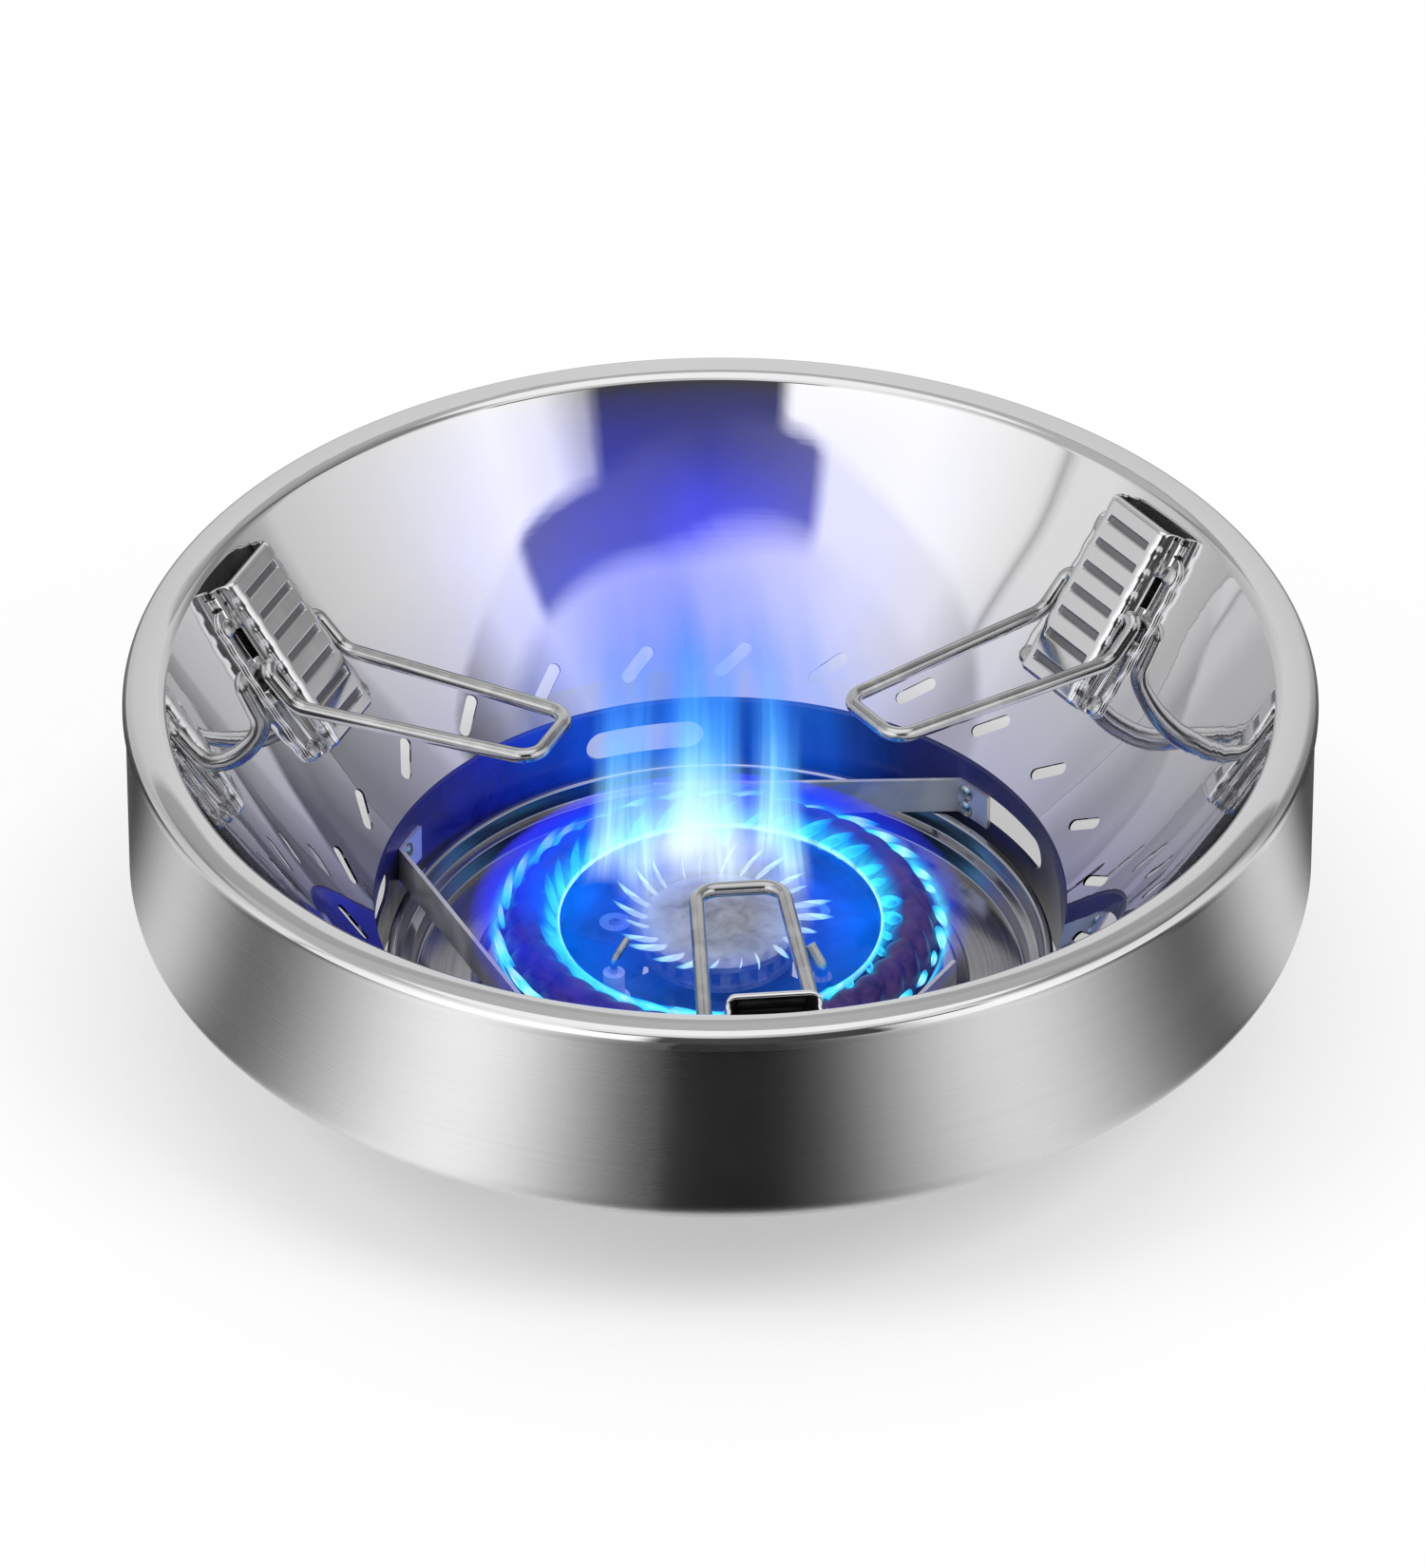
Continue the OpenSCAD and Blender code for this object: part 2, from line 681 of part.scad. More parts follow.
// Brass feed nipple with a hexagon, an inlet from below and a fine jet above it
module feed_nipple() {
    hex_low = base_z - seat - hex_h;
    inlet_top = base_z + cast_floor;
    jet_len = 1.6;
    top = inlet_top + jet_len;
    difference() {
        union() {
            translate([0, 0, feed_low]) cylinder(d = feed_d, h = top - feed_low);
            translate([0, 0, hex_low]) cylinder(d = feed_hex, h = hex_h, $fn = 6);
        }
        translate([0, 0, feed_low - cut]) cylinder(d = feed_bore_d, h = inlet_top - feed_low + cut);
        translate([0, 0, feed_low]) cylinder(d = jet_d, h = top);
    }
}

module outer_feed() { color("goldenrod") at_az(feed_az, feed_r) feed_nipple(); }

module inner_feed() { color("goldenrod") feed_nipple(); }

// Lift off crown of the outer ring, with flame slots in both edges
module outer_crown() {
    tip_inset = 0.7;
    tip_out = burner_r - tip_inset;
    tip_in = ring_r + tip_inset;
    crest = (tip_out - tip_in) / 5;
    middle = (tip_out + tip_in) / 2;
    color("#3a3338") {
        intersection() {
            translate([0, 0, ring_top]) linear_extrude(crown_h) difference() {
                polygon(toothed(crown_slots, tip_out, tip_out - tooth_deep));
                polygon(toothed(crown_slots, tip_in, tip_in + tooth_deep));
            }
            translate([0, 0, ring_top]) lathe([
                [tip_in - cut, 0], [tip_out + cut, 0], [tip_out + cut, crown_edge],
                [middle + crest, crown_h], [middle - crest, crown_h], [tip_in - cut, crown_edge]
            ]);
        }
        translate([0, 0, ring_top - skirt_h]) difference() {
            cylinder(r = channel_out - lift_fit, h = skirt_h + cut);
            translate([0, 0, -cut]) cylinder(r = channel_out - lift_fit - skirt_t, h = skirt_h + 3 * cut);
        }
        translate([0, 0, ring_top - skirt_h]) difference() {
            cylinder(r = channel_in + lift_fit + skirt_t, h = skirt_h + cut);
            translate([0, 0, -cut]) cylinder(r = channel_in + lift_fit, h = skirt_h + 3 * cut);
        }
    }
}

// Slotted head of the inner ring, set into the hub
module inner_head() {
    skirt_out = hub_r - cast_wall - 4 * seat;
    skirt_low = hub_top - head_skirt_h;
    flange_top = hub_top + head_flange;
    tip_inset = 0.3;
    color("#4a4648") {
        lathe([
            [head_in, skirt_low], [skirt_out, skirt_low], [skirt_out, hub_top],
            [head_out, hub_top], [head_out, flange_top], [head_in, flange_top]
        ]);
        translate([0, 0, hub_top + head_flange / 2]) linear_extrude(head_h + head_flange / 2) difference() {
            polygon(toothed(head_slots, head_out - tip_inset, head_out - tip_inset - tooth_deep));
            circle(r = head_in + tip_inset);
        }
    }
}

// Lift off cap of the inner ring, domed, with a spigot in the head
module inner_cap() {
    spigot = head_in - lift_fit;
    spigot_low = head_top - head_skirt_h;
    cap_r = cap_d / 2;
    cap_edge = 1.5;
    color("#5a5450") lathe([
        [0, spigot_low], [spigot, spigot_low], [spigot, head_top],
        [cap_r, head_top], [cap_r, head_top + cap_h * 0.45], [cap_r - cap_edge, head_top + cap_h * 0.7],
        [cap_r * 0.6, head_top + cap_h * 0.94], [0, head_top + cap_h]
    ]);
}

// Upright rod body with the collar that seats it on its arm
module rod_body() {
    translate([0, 0, rod_low]) cylinder(d = rod_d, h = rod_top - rod_low);
    translate([0, 0, base_z + arm_h]) cylinder(d = rod_collar_d, h = rod_collar_h);
}

// Pin on a rod body that leans over towards the inner ring
module leaning_pin(r, reach) {
    elbow = rod_top + pin_rise;
    wire([[rod_r, 0, rod_top], [rod_r, 0, elbow], [rod_r - reach, 0, elbow + 1.2 * reach]], [pin_rise], r);
}

module igniter_ceramic() { color("ivory") at_az(rod_az[0], rod_r) rod_body(); }

module igniter_electrode() {
    color("lightgray") at_az(rod_az[0]) leaning_pin(electrode_d / 2, electrode_reach);
}

module sensor_sheath() { color("burlywood") at_az(rod_az[1], rod_r) rod_body(); }

module sensor_tip() {
    color("silver") at_az(rod_az[1]) leaning_pin(sensor_d / 2, sensor_reach);
}

outer_band();
reflector_bowl();
lower_collar();
for (i = [0:2]) {
    centring_strap(strap_az[i]);
    support_bracket(support_az[i]);
    pot_loop(support_az[i]);
}
strap_rivets();
bracket_rivets();
drip_tray();
base_gasket();
burner_base();
burner_screws();
burner_nuts();
outer_feed();
inner_feed();
outer_crown();
inner_head();
inner_cap();
igniter_ceramic();
igniter_electrode();
sensor_sheath();
sensor_tip();
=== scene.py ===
import math

import bpy
from mathutils import Matrix, Vector
from mathutils.geometry import delaunay_2d_cdt


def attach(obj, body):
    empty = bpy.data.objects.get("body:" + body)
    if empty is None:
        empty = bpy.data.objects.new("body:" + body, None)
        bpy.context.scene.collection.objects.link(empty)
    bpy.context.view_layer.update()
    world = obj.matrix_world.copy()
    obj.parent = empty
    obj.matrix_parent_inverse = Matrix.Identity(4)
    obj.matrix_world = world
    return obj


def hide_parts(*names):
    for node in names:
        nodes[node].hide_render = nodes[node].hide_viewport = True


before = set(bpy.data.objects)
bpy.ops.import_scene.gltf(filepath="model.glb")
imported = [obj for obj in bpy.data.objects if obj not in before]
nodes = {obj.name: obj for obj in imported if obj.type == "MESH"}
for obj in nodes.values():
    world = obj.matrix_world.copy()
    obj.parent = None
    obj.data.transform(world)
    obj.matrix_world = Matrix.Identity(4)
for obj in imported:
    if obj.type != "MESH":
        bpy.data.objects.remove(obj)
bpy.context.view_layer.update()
scene = bpy.context.scene


# Drip tray: a shallow tray spun from satin stainless sheet, with a folded rim, a ledge and
# a raised platform that the burner stands on. The spinning tool leaves fine rings in it.
MM = 0.001


def right_of(run):
    """Direction to the right of a run in the (r, z) plane."""
    return Vector((run.y, -run.x))


def polar(radius, angle):
    return radius * Vector((math.cos(angle), math.sin(angle)))


def rounded(corners, side, steps=7):
    """Path of (point, normal) through corners (r, z, fillet radius).

    Side +1 shows the right of the path, and -1 its left.
    """
    spots = [Vector(c[:2]) for c in corners]
    path = []
    for i, spot in enumerate(spots):
        radius = corners[i][2] if len(corners[i]) > 2 else 0
        before = (spot - spots[i - 1]).normalized() if i else None
        after = (spots[i + 1] - spot).normalized() if i + 1 < len(spots) else None
        if not radius or before is None or after is None:
            path.append((spot, side * right_of(after or before)))
            continue
        half = (-before).angle(after) / 2
        centre = spot + (after - before).normalized() * radius / math.sin(half)
        first = spot - before * radius / math.tan(half) - centre
        last = spot + after * radius / math.tan(half) - centre
        start = math.atan2(first.y, first.x)
        sweep = (math.atan2(last.y, last.x) - start + math.pi) % math.tau - math.pi
        out = side * (1 if sweep > 0 else -1)
        for k in range(steps + 1):
            spoke = polar(1, start + sweep * k / steps)
            path.append((centre + radius * spoke, out * spoke))
    return path


EDGE_STEPS = 5


def ribbon(path, thickness):
    """Closed outline of a sheet behind a path, with round edges."""
    def edge(spot, normal, run):
        middle, half = spot - normal * thickness / 2, thickness / 2
        turns = [math.pi * k / EDGE_STEPS for k in range(1, EDGE_STEPS)]
        spokes = [math.cos(a) * normal + math.sin(a) * run for a in turns]
        return [(middle + half * spoke, spoke) for spoke in spokes]

    back = [(spot - normal * thickness, -normal) for spot, normal in reversed(path)]
    end_run = (path[-1][0] - path[-2][0]).normalized()
    start_run = (path[0][0] - path[1][0]).normalized()
    return path + edge(*path[-1], end_run) + back + list(reversed(edge(*path[0], start_run)))


def make_piece(name, points, normals, faces, material):
    """Mesh piece from points in millimetres, shaded by the normals where there are any."""
    mesh = bpy.data.meshes.new(name)
    mesh.from_pydata([Vector(p) * MM for p in points], [], faces)
    mesh.polygons.foreach_set("use_smooth", [True] * len(mesh.polygons))
    if normals:
        mesh.normals_split_custom_set_from_vertices([tuple(n) for n in normals])
    mesh.materials.append(material)
    piece = bpy.data.objects.new(name, mesh)
    scene.collection.objects.link(piece)
    return piece


def turned(outline, steps, closed=True, first=0.0):
    """Points, normals and faces of an outline turned round the drum's axis."""
    points, normals, faces = [], [], []
    count = len(outline)
    for k in range(steps):
        turn = first + math.tau * k / steps
        c, s = math.cos(turn), math.sin(turn)
        for spot, normal in outline:
            points.append(Vector((spot.x * c, spot.x * s, spot.y)))
            normals.append(Vector((normal.x * c, normal.x * s, normal.y)))
    for k in range(steps):
        here, there = k * count, (k + 1) % steps * count
        for i in range(count if closed else count - 1):
            j = (i + 1) % count
            faces.append((here + i, there + i, there + j, here + j))
    a, b, c, d = (points[i] for i in faces[0])
    if (c - a).cross(d - b).dot(normals[faces[0][0]]) < 0:
        faces = [tuple(reversed(f)) for f in faces]
    return points, normals, faces


def shade(tree, kind, feeds=None, **settings):
    """Shader node with its settings; each feed is a value that is set, or a socket that is linked."""
    made = tree.nodes.new("ShaderNode" + kind)
    for key, value in settings.items():
        setattr(made, key, value)
    for key, value in (feeds or {}).items():
        if isinstance(value, bpy.types.NodeSocket):
            tree.links.new(value, made.inputs[key])
        else:
            made.inputs[key].default_value = value
    return made


def calc(tree, operation, first, second=0.0, third=0.0):
    return shade(tree, "Math", {0: first, 1: second, 2: third}, operation=operation).outputs[0]


def ramp(tree, value, stops, smooth=False):
    """Colour ramp over a value from stops of (place, colour)."""
    made = shade(tree, "ValToRGB", {"Fac": value})
    made.color_ramp.interpolation = "EASE" if smooth else "LINEAR"
    points = made.color_ramp.elements
    while len(points) < len(stops):
        points.new(0.5)
    # Places come first, because a stop that passes another changes its number
    for point, (place, _) in zip(points, stops):
        point.position = place
    for point, (_, colour) in zip(points, stops):
        point.color = (*colour, 1) if hasattr(colour, "__len__") else (colour, colour, colour, 1)
    return made.outputs["Color"]


def effect_group(name, inputs, outputs):
    """Empty shader node group for values: its tree, what comes in and what goes out."""
    tree = bpy.data.node_groups.new(name, "ShaderNodeTree")
    for label, value in inputs.items():
        socket = tree.interface.new_socket(label, in_out="INPUT", socket_type="NodeSocketFloat")
        socket.default_value = value
    for label in outputs:
        tree.interface.new_socket(label, in_out="OUTPUT", socket_type="NodeSocketFloat")
    return tree, tree.nodes.new("NodeGroupInput").outputs, tree.nodes.new("NodeGroupOutput").inputs


# The spinning tool's rings: long streaks round the axis, fine across it, on floors and walls alike
RISE_SHARE = 0.83
spun_rings, put, out = effect_group("spun_rings", {"Rings per metre": 2500.0, "Streak": 1.5}, ["Lines"])
spot = shade(spun_rings, "TexCoord").outputs["Object"]
across = shade(spun_rings, "SeparateXYZ", {0: spot}).outputs
round_axis = shade(spun_rings, "VectorMath", {0: spot, 1: (1, 1, 0)}, operation="MULTIPLY").outputs[0]
radius = shade(spun_rings, "VectorMath", {0: round_axis}, operation="LENGTH").outputs["Value"]
along = shade(spun_rings, "VectorMath", {0: round_axis}, operation="NORMALIZE").outputs[0]
along = shade(spun_rings, "VectorMath", {0: along, "Scale": put["Streak"]}, operation="SCALE").outputs[0]
outward = calc(spun_rings, "MULTIPLY_ADD", across["Z"], RISE_SHARE, radius)
ring = calc(spun_rings, "MULTIPLY", outward, put["Rings per metre"])
ring = shade(spun_rings, "CombineXYZ", {"Z": ring}).outputs[0]
ring = shade(spun_rings, "VectorMath", {0: along, 1: ring}, operation="ADD").outputs[0]
lines = shade(spun_rings, "TexNoise", {"Vector": ring, "Scale": 1.0, "Detail": 3.0, "Roughness": 0.6})
spun_rings.links.new(lines.outputs["Fac"], out["Lines"])

# Smears and dull patches that hands and cleaning leave on metal
handling, put, out = effect_group("handling", {"Size": 18.0, "Amount": 1.0}, ["Dullness", "Height"])
spot = shade(handling, "TexCoord").outputs["Object"]
patch = shade(handling, "TexNoise", {
    "Vector": spot, "Scale": put["Size"], "Detail": 4.0, "Distortion": 0.8})
smear = shade(handling, "MapRange", {"Value": patch.outputs["Fac"], "From Min": 0.45, "From Max": 0.75})
handling.links.new(calc(handling, "MULTIPLY", smear.outputs[0], put["Amount"]), out["Dullness"])
handling.links.new(patch.outputs["Fac"], out["Height"])


def effect(tree, group, **values):
    """Outputs of an effect placed in a material, with values of its own."""
    made = tree.nodes.new("ShaderNodeGroup")
    made.node_tree = group
    for label, value in values.items():
        made.inputs[label.replace("_", " ")].default_value = value
    return made.outputs


def finish(name, colour, roughness, metallic=1.0):
    """Material with a plain surface, which its own section goes on to vary."""
    material = bpy.data.materials.new(name)
    material.use_nodes = True
    surface = material.node_tree.nodes["Principled BSDF"].inputs
    surface["Base Color"].default_value = (*colour, 1)
    surface["Roughness"].default_value = roughness
    surface["Metallic"].default_value = metallic
    return material, material.node_tree, surface


def brush(tree, surface, amount):
    """Gloss stretched across the lines that run round the axis."""
    surface["Anisotropic"].default_value = amount
    surface["Anisotropic Rotation"].default_value = 0.25
    around = shade(tree, "Tangent", direction_type="RADIAL", axis="Z")
    tree.links.new(around.outputs[0], surface["Tangent"])


def seat(piece, body, slot, *stands_for):
    """Piece on its body, in place of the CAD nodes that it stands for, which are hidden; its slot is not
    used.
    """
    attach(piece, body)
    if stands_for:
        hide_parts(*stands_for)


def dress(node, material):
    """New finish on a CAD node that keeps its shape."""
    nodes[node].data.materials.clear()
    nodes[node].data.materials.append(material)


tray_steel, tree, surface = finish("tray_steel", (0.60, 0.60, 0.63), 0.3)
rings = effect(tree, spun_rings, Rings_per_metre=1400.0)
marks = effect(tree, handling, Size=30.0, Amount=0.12)
dull = calc(tree, "MULTIPLY_ADD", rings["Lines"], 0.1, 0.09)
tree.links.new(calc(tree, "ADD", dull, marks["Dullness"]), surface["Roughness"])
tint = ramp(tree, rings["Lines"], [(0.3, (0.38, 0.38, 0.40)), (0.7, (0.54, 0.54, 0.56))])
tree.links.new(tint, surface["Base Color"])
bump = shade(tree, "Bump", {"Height": rings["Lines"], "Strength": 0.06, "Distance": 0.0002})
tree.links.new(bump.outputs[0], surface["Normal"])
brush(tree, surface, 0.35)

TRAY_SHEET, TRAY_STEPS = 0.6, 256
tray_path = rounded([
    (71.2, 0.0), (76.2, 0.0, 0.5), (76.2, 11.0, 0.9), (74.0, 11.0, 0.9), (73.2, 7.2, 0.4), (70.8, 6.9, 0.4),
    (70.0, 3.2, 0.5), (57.0, 3.2, 2.5), (54.0, 4.4, 2.5), (18.05, 4.4)], 1)
tray = make_piece("satin_tray", *turned(ribbon(tray_path, TRAY_SHEET), TRAY_STEPS), tray_steel)
seat(tray, "burner", "tray_steel", "drip_tray")


# Gasket: a flat ring of black heat-proof rubber between the tray and the burner.
# It is stamped from sheet and clamped by the three screws.
def patchy(plain, size, amount, dullness, tints, grain=0.0):
    """Plain finish with the marks of handling and heat: tints, dull patches and a cast grain."""
    material, tree, surface = plain
    marks = effect(tree, handling, Size=size, Amount=amount)
    tree.links.new(ramp(tree, marks["Height"], tints), surface["Base Color"])
    tree.links.new(calc(tree, "ADD", marks["Dullness"], dullness), surface["Roughness"])
    if grain:
        bump = shade(tree, "Bump", {"Height": marks["Height"], "Strength": grain, "Distance": 0.0003})
        tree.links.new(bump.outputs[0], surface["Normal"])
    return material


gasket_rubber = patchy(
    finish("gasket_rubber", (0.02, 0.02, 0.022), 0.6, 0.0), 220.0, 0.25, 0.55,
    [(0.35, (0.012, 0.012, 0.014)), (0.65, (0.035, 0.034, 0.034))])
dress("base_gasket", gasket_rubber)


# Burner body: a black enamelled casting with an outer and an inner gas channel.
# Sand casting leaves it grainy, and the enamel is dulled by heat.
burner_cast = patchy(
    finish("burner_cast", (0.02, 0.02, 0.024), 0.5, 0.0), 400.0, 0.2, 0.38,
    [(0.3, (0.010, 0.010, 0.013)), (0.7, (0.035, 0.033, 0.036))], grain=0.25)
dress("burner_base", burner_cast)


# Screws, nuts and rivets: turned steel fasteners, bright where they are worn.
# The screws clamp the burner to its tray; the rivets hold the straps and the brackets.
fastener_steel = patchy(
    finish("fastener_steel", (0.55, 0.55, 0.55), 0.3), 500.0, 0.3, 0.2,
    [(0.3, (0.42, 0.42, 0.42)), (0.7, (0.66, 0.66, 0.65))])
for name in ("burner_screws", "burner_nuts", "strap_rivets", "bracket_rivets"):
    dress(name, fastener_steel)


# Feed nipples and sensor sheath: turned brass, browned by heat.
# Each nipple is screwed into its channel from below, and carries the inlet and the jet.
feed_brass = patchy(
    finish("feed_brass", (0.60, 0.40, 0.16), 0.3), 260.0, 0.3, 0.22,
    [(0.3, (0.36, 0.22, 0.09)), (0.65, (0.66, 0.46, 0.19))])
for name in ("outer_feed", "inner_feed", "sensor_sheath"):
    dress(name, feed_brass)


# Igniter and flame sensor: a white glazed ceramic body, and two heat-proof steel pins.
# They stand on the burner's arms, between its rings, with their pins over the inner ring.
rod_ceramic = patchy(
    finish("rod_ceramic", (0.82, 0.8, 0.74), 0.25, 0.0), 160.0, 0.35, 0.18,
    [(0.35, (0.55, 0.5, 0.43)), (0.6, (0.84, 0.82, 0.76))])
dress("igniter_ceramic", rod_ceramic)

rod_steel = patchy(
    finish("rod_steel", (0.5, 0.49, 0.47), 0.35), 320.0, 0.3, 0.25,
    [(0.3, (0.30, 0.27, 0.27)), (0.65, (0.6, 0.58, 0.56))])
for name in ("igniter_electrode", "sensor_tip"):
    dress(name, rod_steel)


# Outer crown: a loose casting over the outer channel, with a rounded lobe between every
# two flame slots. Heat has turned it purple brown to black.
CROWN_LOBES, LOBE_STEPS, LOBE_SWIRL, LOBE_ROUND = 36, 12, 0.1, 0.6
NOTCH_IN, NOTCH_DOWN = 0.24, 0.34
crown_in, crown_out, crown_low, crown_top = 37.3, 50.3, 15.0, 23.0
crown_mid = (crown_in + crown_out) / 2

crown_cast = patchy(
    finish("crown_cast", (0.03, 0.02, 0.03), 0.42, 0.35), 140.0, 0.3, 0.3,
    [(0.3, (0.012, 0.008, 0.016)), (0.5, (0.05, 0.02, 0.06)), (0.68, (0.10, 0.045, 0.07))], grain=0.2)

points, faces = [], []
around, over = CROWN_LOBES * LOBE_STEPS, 28
for k in range(around):
    for i in range(over):
        share = 2 * i / (over - 1) - 1
        turn = math.tau * k / around
        lobe = abs(math.cos(CROWN_LOBES * (turn + LOBE_SWIRL * share * abs(share)) / 2)) ** LOBE_ROUND
        notch = min(1.0, abs(share) * 1.5) ** 1.5 * (1 - lobe)
        r = crown_mid + (crown_out - crown_mid) * share * (1 - NOTCH_IN * notch)
        z = crown_low + (crown_top - crown_low) * (1 - abs(share) ** 3) * (1 - NOTCH_DOWN * notch)
        points.append((r * math.cos(turn), r * math.sin(turn), z))
for k in range(around):
    here, there = k * over, (k + 1) % around * over
    faces += [(here + i, there + i, there + i + 1, here + i + 1) for i in range(over - 1)]
    faces.append((here + over - 1, there + over - 1, there, here))
crown = make_piece("lobed_crown", points, None, faces, crown_cast)
crown.data.set_sharp_from_angle(angle=math.radians(60))
seat(crown, "crown", "crown_cast", "outer_crown")


# Inner head and cap: machined castings on the inner channel, the head slotted for its
# flames, the cap loose on top of it and bleached by heat.
head_cast = patchy(
    finish("head_cast", (0.3, 0.29, 0.3), 0.45, 0.6), 180.0, 0.25, 0.35,
    [(0.3, (0.16, 0.15, 0.17)), (0.7, (0.40, 0.39, 0.41))])
for name in ("inner_head", "inner_cap"):
    dress(name, head_cast)


# Lower collar: a ring rolled from sheet and enamelled black, with long air vents and
# a turned-out foot that carries the drum. The bowl's throat is spun over its top edge.
# Its colour is deep blue: black enamel with painted blue light of the flames.
# The tints are deep blue: painted blue flame light on black enamel.
collar_black = patchy(
    finish("collar_black", (0.012, 0.013, 0.022), 0.35, 0.0), 60.0, 0.2, 0.26,
    [(0.3, (0.005, 0.006, 0.034)), (0.7, (0.009, 0.012, 0.060))])
dress("lower_collar", collar_black)


# Centring straps: three bright strips on edge, bent to lean on the burner's outer ring.
# A tab at each end is riveted to the collar.
strap_steel = patchy(
    finish("strap_steel", (0.62, 0.62, 0.64), 0.4, 0.75), 90.0, 0.3, 0.36,
    [(0.3, (0.54, 0.54, 0.57)), (0.7, (0.7, 0.7, 0.72))])
for k in (1, 2, 3):
    name = f"centring_strap_{k}"
    dress(name, strap_steel)
    worn = nodes[name].modifiers.new("worn_edges", "BEVEL")
    worn.limit_method = "ANGLE"
    worn.width = 0.25 * MM
    worn.segments = 2


# Reflector bowl: spun from thin stainless sheet and polished to a slightly uneven mirror, with
# a lip folded down over the band and a ring of leaning vent slots low on the wall. Its colour
# turns blue toward the burner: painted blue light of the flames on the wall.
SHEET, BELLY = 0.6, 2.5
throat, rim_edge = Vector((79.1, 26.8)), Vector((126.2, 86.0))
chord = rim_edge - throat
bow_r = (chord.length / 2) ** 2 / (2 * BELLY) + BELLY / 2
bow_mid = throat + chord / 2 - right_of(chord).normalized() * (bow_r - BELLY)
bow_start = math.atan2(*reversed(throat - bow_mid))
wall_len = (rim_edge - bow_mid).angle(throat - bow_mid) * bow_r


def wall_at(up):
    """Point of the bowl's wall, and the normal into the bowl, at a length up from the throat."""
    spoke = polar(1, bow_start + up / bow_r)
    return bow_mid + bow_r * spoke, -spoke


def span(first, last, count):
    """Even steps from first to last."""
    return [first + (last - first) * k / (count - 1) for k in range(count)]


SLOTS, SLOT_FIRST, SLOT_LEAN = 24, math.radians(13), math.radians(44)
SLOT_END_STEPS, SLOT_MARGIN, STRIP_ROWS = 10, 0.5, 13
slot_half, slot_r, slot_up, strip_top, sector_cuts = 3.75, 1.5, 9.0, 18.0, 16
sector = math.tau / SLOTS
flat_r = wall_at(slot_up)[0].x


def slot_gap(turn, up):
    """Distance of a wall point from the edge of its sector's slot, below 0 inside it."""
    x, y = -turn * wall_at(up)[0].x, up - slot_up
    u = x * math.cos(SLOT_LEAN) + y * math.sin(SLOT_LEAN)
    v = y * math.cos(SLOT_LEAN) - x * math.sin(SLOT_LEAN)
    return math.hypot(max(abs(u) - slot_half, 0), v) - slot_r


slot_edge = []
for end in (1, -1):
    for k in range(SLOT_END_STEPS + 1):
        spot = end * (polar(slot_r, math.pi * (k / SLOT_END_STEPS - 0.5)) + Vector((slot_half, 0)))
        x = spot.x * math.cos(SLOT_LEAN) - spot.y * math.sin(SLOT_LEAN)
        y = spot.x * math.sin(SLOT_LEAN) + spot.y * math.cos(SLOT_LEAN)
        up = slot_up + y
        slot_edge.append(Vector((-x / wall_at(up)[0].x * flat_r, up)))
grid = list(slot_edge)
for up in span(0, strip_top, STRIP_ROWS):
    for turn in span(-sector / 2, sector / 2, sector_cuts + 1):
        if slot_gap(turn, up) > SLOT_MARGIN:
            grid.append(Vector((turn * flat_r, up)))
ring = [(k, (k + 1) % len(slot_edge)) for k in range(len(slot_edge))]
cut = delaunay_2d_cdt(grid, ring, [], 0, 1e-5)
sheet_spots, sheet_faces = cut[0], []
for f in cut[2]:
    x = sum(sheet_spots[i].x for i in f) / len(f)
    y = sum(sheet_spots[i].y for i in f) / len(f)
    if slot_gap(x / flat_r, y) > 0:
        sheet_faces.append(f)

RIM_BEND, RIM_STEPS, WALL_ROWS, BEND_START = 3.2, 12, 48, wall_len - 2.6
rim_path = [wall_at(up) for up in span(strip_top, BEND_START, WALL_ROWS)]
rim_path += rounded([
    wall_at(wall_len - 6)[0], (*wall_at(wall_len - 0.35)[0], RIM_BEND), (130.0, 86.0, 22.0),
    (135.0, 85.3, 3.0), (135.0, 82.0)], -1, RIM_STEPS)[1:]
# The slotted strip goes on at the low end, so the round edge there is left off
outline = ribbon(rim_path, SHEET)[:1 - EDGE_STEPS]
points, normals, faces = turned(outline, SLOTS * sector_cuts, False, SLOT_FIRST - sector / 2)


def lay(spot, deep, middle):
    """Wall point, and its normal, for a spot of the flattened sheet, at a depth behind its face."""
    (place, normal), turn = wall_at(spot.y), middle + spot.x / flat_r
    place = place - normal * deep
    c, s = math.cos(turn), math.sin(turn)
    return Vector((place.x * c, place.x * s, place.y)), Vector((normal.x * c, normal.x * s, normal.y))


for k in range(SLOTS):
    middle = SLOT_FIRST + k * sector
    for deep, side in ((0, 1), (SHEET, -1)):
        base = len(points)
        for spot in sheet_spots:
            place, normal = lay(spot, deep, middle)
            points.append(place)
            normals.append(normal * side)
        for f in sheet_faces:
            a, b, c = (points[base + i] for i in f[:3])
            facing = (b - a).cross(c - a).dot(normals[base + f[0]]) > 0
            faces.append(tuple(base + i for i in (f if facing else reversed(f))))
    base = len(points)
    heart = lay(Vector((0, slot_up)), 0, middle)[0]
    for spot in slot_edge:
        for deep in (0, SHEET):
            place, normal = lay(spot, deep, middle)
            inward = heart - place
            points.append(place)
            normals.append((inward - inward.dot(normal) * normal).normalized())
    count = len(slot_edge)
    for i in range(count):
        here, there = base + 2 * i, base + 2 * ((i + 1) % count)
        faces.append((here, here + 1, there + 1, there))

